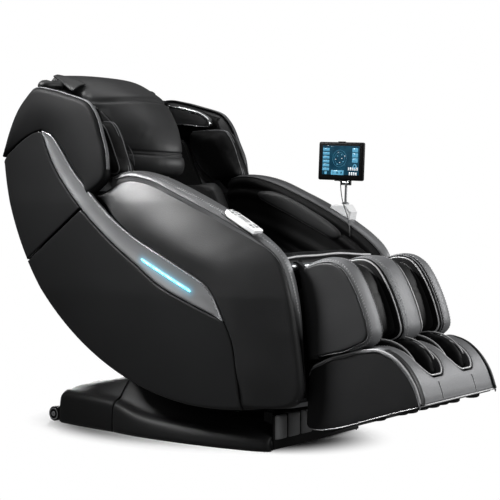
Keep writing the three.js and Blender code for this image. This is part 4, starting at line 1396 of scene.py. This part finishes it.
BASE_STATIONS = np.array([
    # y, half width, skirt height, shoulder height, crown height
    (-0.262, 0.236, 0.040, 0.060, 0.068), (-0.255, 0.250, 0.044, 0.070, 0.078),
    (-0.200, 0.266, 0.048, 0.086, 0.095), (-0.080, 0.279, 0.052, 0.094, 0.099),
    (0.060, 0.282, 0.056, 0.104, 0.113), (0.200, 0.274, 0.066, 0.134, 0.149),
    (0.290, 0.261, 0.086, 0.156, 0.174), (0.331, 0.252, 0.096, 0.160, 0.182)])
REAR_STATIONS = np.array([
    (0.335, 0.250, 0.098, 0.160, 0.182), (0.420, 0.240, 0.101, 0.146, 0.162),
    (0.510, 0.226, 0.103, 0.130, 0.140), (0.588, 0.212, 0.100, 0.113, 0.117),
    (0.605, 0.204, 0.092, 0.103, 0.105), (0.611, 0.197, 0.080, 0.091, 0.093)])


def cover_skin(name, stations, count, node, end_drop=False):
    """A moulded base cover as one skin over its stations, with a lip where the skirt turns into the slope."""
    grid = []
    for y, half, skirt, shoulder, crown in resample(stations, count):
        section = [(half - 0.004, 0.003), (half, 0.012), (half + 0.001, 0.45 * skirt),
                   (half - 0.003, skirt - 0.016), (half - 0.009, skirt - 0.006),
                   (half - 0.019, skirt + 0.001), (0.86 * half, skirt + 0.006),
                   (0.78 * half, 0.5 * skirt + 0.5 * shoulder), (0.64 * half, shoulder),
                   (0.40 * half, 0.3 * shoulder + 0.7 * crown), (0.0, crown)]
        p = resample(section, 34)
        both = np.vstack([p, [(-a, b) for a, b in p[-2::-1]]])
        grid.append(np.column_stack([both[:, 0], np.full(len(both), y), both[:, 1]]))
    grid = np.array(grid)
    if end_drop:
        last = grid[-1].copy()
        last[:, 1] += 0.003
        last[:, 2] = np.maximum(0.003, last[:, 2] - 0.012)
        last[:, 0] *= 0.985
        wall = last.copy()
        wall[:, 2] = 0.003
        grid = np.concatenate([grid, last[None], (0.5 * last + 0.5 * wall + (0, 0.002, 0))[None], wall[None]])
    skin = shell_sheet(name, row(grid), np.array([0, 0, -0.003]), BASE, "base")
    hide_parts(node)


def make_base():
    cover_skin("base_cover_skin", BASE_STATIONS, 90, "base_cover")
    cover_skin("rear_cover_skin", REAR_STATIONS, 50, "rear_base_cover", end_drop=True)
    cover_front()
    ribs()
    make_wheel_rims()


def make_wheel_rims():
    """A bright ring and a hub cap on the outer face of each transport wheel."""
    q = turn(40)
    for tag, side in SIDES:
        lo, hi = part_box(f"transport_wheel_{tag}")
        x = side * (max(abs(lo.x), abs(hi.x)) + 0.0004)
        y, z = (lo.y + hi.y) / 2, (lo.z + hi.z) / 2
        for name, radius, thick in (("rim", 0.0175, 0.0022), ("hub", 0.0050, 0.0040)):
            ring = np.column_stack([np.full(40, x), y + radius * np.cos(q), z + radius * np.sin(q)])
            tube(f"wheel_{name}_{tag}", ring, thick, CHROME, f"transport_wheel_{tag}", closed=True)


def cover_front():
    """Front end wall of the main cover."""
    y, half, skirt, shoulder, crown = BASE_STATIONS[0]
    section = [(half - 0.004, 0.003), (half, 0.020), (half - 0.004, skirt - 0.006),
               (0.80 * half, 0.5 * (skirt + shoulder)), (0.66 * half, shoulder), (0.0, crown)]
    p = resample(section, 30)
    top = np.vstack([p, [(-a, b) for a, b in p[-2::-1]]])
    t = np.linspace(0, 1, 8)
    grid = [np.column_stack([top[:, 0] * (1 - 0.02 * k), np.full(len(top), y - 0.004 * math.sin(math.pi * k)),
                             0.003 + (top[:, 1] - 0.003) * (1 - k)]) for k in t]
    shell_sheet("base_front_wall", row(np.array(grid)), np.array([0, 0.004, 0]), BASE, "base")


def ribs():
    """Grey upright slats across the front of the base, with rounded faces, and a near-black sheet behind them
    as painted shade.
    """
    lo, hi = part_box("front_slats")
    count, pitch, width, edge = 7, 0.0668, 0.055, 0.006
    u = np.linspace(0, 1, 9)
    low = lo.z + 0.028
    z = np.concatenate([[low, low + 0.002], np.linspace(low + edge, hi.z - edge, 8), [hi.z - 0.002, hi.z]])
    drop = roll_in(np.minimum(z - low, hi.z - z), edge)
    for i in range(count):
        x0 = lo.x + 0.004 + i * pitch
        grid = []
        for zz, dz in zip(z, drop):
            y = lo.y + 0.0005 + dz + roll_in(np.minimum(u, 1 - u) * width, edge) + 0.0015 * (2 * u - 1) ** 2
            grid.append(np.column_stack([x0 + width * u, y, np.full(9, zz)]))
        shell_sheet(f"front_slat_{i}", np.array(grid), np.array([0, 0.007, 0]), SLAT, "base")
    # A near-black sheet behind the slats: painted shade.
    back = []
    for zz in (lo.z, hi.z):
        back.append(np.column_stack([np.linspace(lo.x, hi.x, 5), np.full(5, hi.y - 0.007), np.full(5, zz)]))
    shadow_sheet = shell_sheet("front_slat_shadow_sheet", np.array(back), np.array([0, 0.006, 0]), SHADE_BLACK, "base")
    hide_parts("front_slats")


# Armrest controls and tablet.

def local_box(name, centre, size, radius, material, body, matrix, slot=None, segments=3):
    """A rounded box made in its own frame and placed by a matrix."""
    bm = bmesh.new()
    bmesh.ops.create_cube(bm, size=1)
    for v in bm.verts:
        v.co = Vector((v.co.x * size[0] + centre[0], v.co.y * size[1] + centre[1],
                       v.co.z * size[2] + centre[2]))
    bmesh.ops.bevel(bm, geom=bm.edges[:], offset=radius, segments=segments, profile=0.5, affect="EDGES")
    bm.transform(matrix)
    data = bpy.data.meshes.new(name)
    bm.to_mesh(data)
    bm.free()
    data.materials.append(material)
    piece = new_object(name, data)
    for polygon in data.polygons:
        polygon.use_smooth = True
    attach(piece, body)
    return piece


def make_controls():
    place = Matrix.Translation((-0.304, -0.207 + SHIFT, 0.653)) @ Matrix.Rotation(math.radians(29), 4, "X")
    for k, y in enumerate((-0.045, -0.034, 0.027, 0.038, 0.049)):
        for m, x in enumerate((-0.009, 0.009)):
            local_box(f"pod_key_{k}{m}", (x, y, 0.0202), (0.011, 0.0055, 0.0016), 0.0007,
                      MARKS if (k + m) % 2 else GREY_PLASTIC, "cradle", place)
    local_box("pod_base", (0, 0, 0.003), (0.052, 0.128, 0.004), 0.0018, GLOSS_BLACK, "cradle", place)


TABLET_SHIFT = 0.021


def make_tablet():
    place = tablet_place()
    depth, width, height, bottom = 0.014, 0.172, 0.124, 0.008
    middle = bottom + height / 2

    def part(name, centre, size, radius, material=TABLET_BLACK, **more):
        return local_box(name, centre, size, radius, material, "tablet", place, **more)

    bezel = part("tablet_bezel", (0, TABLET_SHIFT, middle), (depth, width, height), 0.0060,
                 slot="tablet_black", segments=4)
    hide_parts("tablet_housing")
    for k in (-1, 1):
        part(f"tablet_lug_{k + 1}", (0, k * 0.0155, 0.002), (0.010, 0.004, 0.018), 0.0015)
    part("tablet_brow", (0, TABLET_SHIFT, bottom + height + 0.0005), (0.009, 0.026, 0.0035), 0.0015)
    part("tablet_chin", (0, TABLET_SHIFT, bottom - 0.0005), (0.010, 0.045, 0.004), 0.0018)
    x = -depth / 2 - 0.0003
    part("tablet_screen", (x, TABLET_SHIFT - 0.001, middle + 0.003), (0.0008, 0.140, 0.094), 0.0003, SCREEN)
    make_screen(place, x - 0.0006, middle + 0.003)


def tablet_place():
    """The tablet's own frame: tilt axis at the origin, screen towards -X, leaning a little to the front."""
    pos = JOINTS["tablet_tilt"]["pos_m"]
    return Matrix.Translation(pos) @ Matrix.Rotation(math.radians(2.5), 4, "X")


def make_screen(place, x, zc):
    """Generic interface shapes: bars, blocks, a ring and plain dashes. Right on the screen is -Y."""
    def tile(name, right, up, w, h, material):
        local_box(name, (x, TABLET_SHIFT - 0.001 - right, zc + up), (0.0005, w, h), 0.0002, material,
                  "tablet", place, segments=1)

    def circle(name, count, y, z, ry, rz, radius, material):
        q = turn(count)
        local = np.column_stack([np.full(count, x), y + ry * np.cos(q), z + rz * np.sin(q)])
        tube(name, np.array([place @ Vector(p) for p in local]), radius, material, "tablet", sides=5,
             closed=True)

    for k in range(6):
        tile(f"ui_bar_{k}", -0.0555, 0.0345 - 0.0128 * k, 0.025, 0.0088, CYAN)
        tile(f"ui_bar_mark_{k}", -0.0595 + 0.002 * (k % 3), 0.0345 - 0.0128 * k, 0.012, 0.0012, SCREEN)
    tile("ui_corner_mark", -0.0555, -0.0420, 0.009, 0.0085, CYAN)
    for k in range(3):
        tile(f"ui_block_{k}", 0.0545, 0.0335 - 0.0165 * k, 0.021, 0.0135, CYAN)
        for m in range(2):
            tile(f"ui_block_mark_{k}{m}", 0.0545, 0.0360 - 0.0165 * k - 0.005 * m, 0.013, 0.0011, SCREEN)
    tile("ui_panel", -0.0110, -0.0400, 0.048, 0.0150, CYAN)
    for k in range(3):
        tile(f"ui_panel_mark_{k}", -0.0260 + 0.0150 * k, -0.0400, 0.0075, 0.0070, SCREEN)
    for r in range(2):
        for k in range(5 - r):
            tile(f"ui_dash_{r}{k}", 0.0320 + 0.0080 * k + 0.004 * r, -0.0270 - 0.0155 * r, 0.0052, 0.0095,
                 PALE)
    for k, r in enumerate((0.026, 0.0185)):
        circle(f"ui_ring_{k}", 40, TABLET_SHIFT + 0.003, zc + 0.006, r, r * 1.05, 0.0005, DIM)
    for k in range(9):
        a, out = 2.4 * k, 0.4 + 0.07 * k
        tile(f"ui_dot_{k}", -0.004 + 0.022 * math.cos(a) * out, 0.006 + 0.024 * math.sin(a) * out, 0.0036,
             0.0022, CYAN if k % 2 else PALE)
    circle("ui_knob", 28, TABLET_SHIFT - 0.0555, zc - 0.0190, 0.0058, 0.0058, 0.0016, CYAN)


CABLE_R = 0.0016


def make_cable():
    """The tablet's cable, its route and ends as in the CAD, and the boot where it enters the tablet."""
    route = row([(0.300, -0.163, 0.788), (0.299, -0.164, 0.765), (0.290, -0.174, 0.735),
                 (0.275, -0.190, 0.710), (0.264, -0.211, 0.676), (0.254, -0.225, 0.640),
                 (0.252, -0.228, 0.612)])
    path = resample(route, 30)
    cable = tube("tablet_lead", path, CABLE_R, CABLE, None, sides=10)
    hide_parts("tablet_cable")
    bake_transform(cable)
    place = tablet_place()
    boot = [place @ Vector((0, TABLET_SHIFT, z)) for z in (0.0100, 0.0065, 0.0030, 0.0026)]
    tube("tablet_lead_boot", np.array(boot), 0.0027, RUBBER, "tablet", sides=12)


make_base()
make_controls()
make_tablet()
make_cable()


# CAD pieces that stay.

# The side frames take the shadow black: painted shade.
KEPT = {"base_frame": BASE, "power_inlet": GLOSS_BLACK, "power_switch": GLOSS_BLACK,
        "guide_roller_front": RUBBER, "guide_roller_rear": RUBBER, "transport_wheel_R": RUBBER,
        "transport_wheel_L": RUBBER, "guide_rail_R": STEEL, "guide_rail_L": STEEL, "side_frame_R": SHADE_BLACK,
        "side_frame_L": SHADE_BLACK, "track_plate": STEEL, "massage_carriage": ALUMINIUM, "knead_arm_R": ALUMINIUM,
        "knead_arm_L": ALUMINIUM, "knead_roller_R": RUBBER, "knead_roller_L": RUBBER, "leg_shaft": STEEL,
        "calf_back": BLACK_LEATHER, "foot_frame": BASE, "foot_roller_R": RUBBER, "foot_roller_L": RUBBER,
        "tablet_mast": STEEL, "tablet_holder": WHITE, "control_pod": WHITE, "pod_button": GREY_PLASTIC,}


def dress_nodes():
    """Gives each kept CAD piece its material and a fine rounded edge."""
    for name, material in KEPT.items():
        node = NODES[name]
        node.data.materials.clear()
        node.data.materials.append(material)
        edge = node.modifiers.new("edge", "BEVEL")
        edge.width = 0.0008
        edge.segments = 2
        edge.limit_method = "ANGLE"
        edge.harden_normals = True


dress_nodes()


# Stage and light.

def make_stage():
    """A pale floor that fades into the white surround away from the chair."""
    n = Nodes("pale_floor")
    n.set(Base_Color=n.ramp(n.noise(3, 4), [(0.3, (0.90, 0.90, 0.90)), (0.7, (0.94, 0.94, 0.94))]),
          Roughness=0.75)
    n.set(Normal=n.bump(n.noise(300, 3), 0.03, 0.0003))
    place = n.add("ShaderNodeMapping", {"Vector": n.coords, "Location": (0, -0.354, 0),
                                        "Scale": (2.9, 1.90, 1)})
    distance = n.add("ShaderNodeVectorMath", {0: place.outputs["Vector"]},
                     operation="LENGTH").outputs["Value"]
    white = n.add("ShaderNodeEmission", {"Strength": 1.0}).outputs["Emission"]
    fade = n.add("ShaderNodeMapRange", {"Value": distance, "From Min": 0.86, "From Max": 1.28},
                 interpolation_type="SMOOTHSTEP")
    mix = n.add("ShaderNodeMixShader", {"Fac": fade.outputs["Result"]})
    n.tree.links.new(n.bsdf.outputs["BSDF"], mix.inputs[1])
    n.tree.links.new(white, mix.inputs[2])
    n.tree.links.new(mix.outputs["Shader"], n.tree.nodes["Material Output"].inputs["Surface"])
    data = bpy.data.meshes.new("floor")
    data.from_pydata([(20 * math.cos(a), 20 * math.sin(a), 0) for a in turn(64)], [], [tuple(range(64))])
    data.materials.append(n.material)
    floor = new_object("floor", data)
    floor.visible_glossy = False
    floor.visible_diffuse = False


def make_world():
    """White to the camera, and a dim even surround for everything else."""
    world = bpy.data.worlds.new("studio")
    world.use_nodes = True
    tree = world.node_tree
    background = tree.nodes["Background"]
    path = tree.nodes.new("ShaderNodeLightPath")
    pick = tree.nodes.new("ShaderNodeMapRange")
    pick.inputs["To Min"].default_value = 0.10
    pick.inputs["To Max"].default_value = 1.0
    tree.links.new(path.outputs["Is Camera Ray"], pick.inputs["Value"])
    tree.links.new(pick.outputs["Result"], background.inputs["Strength"])
    background.inputs["Color"].default_value = (1, 1, 1, 1)
    bpy.context.scene.world = world
    bpy.context.scene.view_settings.view_transform = "Standard"


def area(name, place, target, size, watts, spread=180):
    light = bpy.data.lights.new(name, "AREA")
    light.shape = "RECTANGLE"
    light.size, light.size_y = size
    light.energy = watts
    light.spread = math.radians(spread)
    lamp = new_object(name, light)
    lamp.location = place
    lamp.rotation_euler = (Vector(target) - Vector(place)).to_track_quat("-Z", "Y").to_euler()


def make_lights():
    area("overhead", (0.1, 0.2, 3.2), (0, 0, 0.5), (2.6, 2.0), 34)
    area("front", (-0.2, -3.6, 1.9), (0, -0.3, 0.45), (2.2, 1.6), 55)
    area("arm_gloss", (-1.9, 1.9, 2.7), (-0.36, -0.36, 0.52), (1.1, 0.6), 9.5, spread=28)
    area("far_front", (2.6, -2.3, 1.5), (0, -0.4, 0.45), (1.4, 1.0), 60)
    area("rear_far", (2.2, 2.4, 1.0), (0, 0.5, 0.12), (0.9, 0.6), 3.0, spread=30)


make_stage()
make_world()
make_lights()
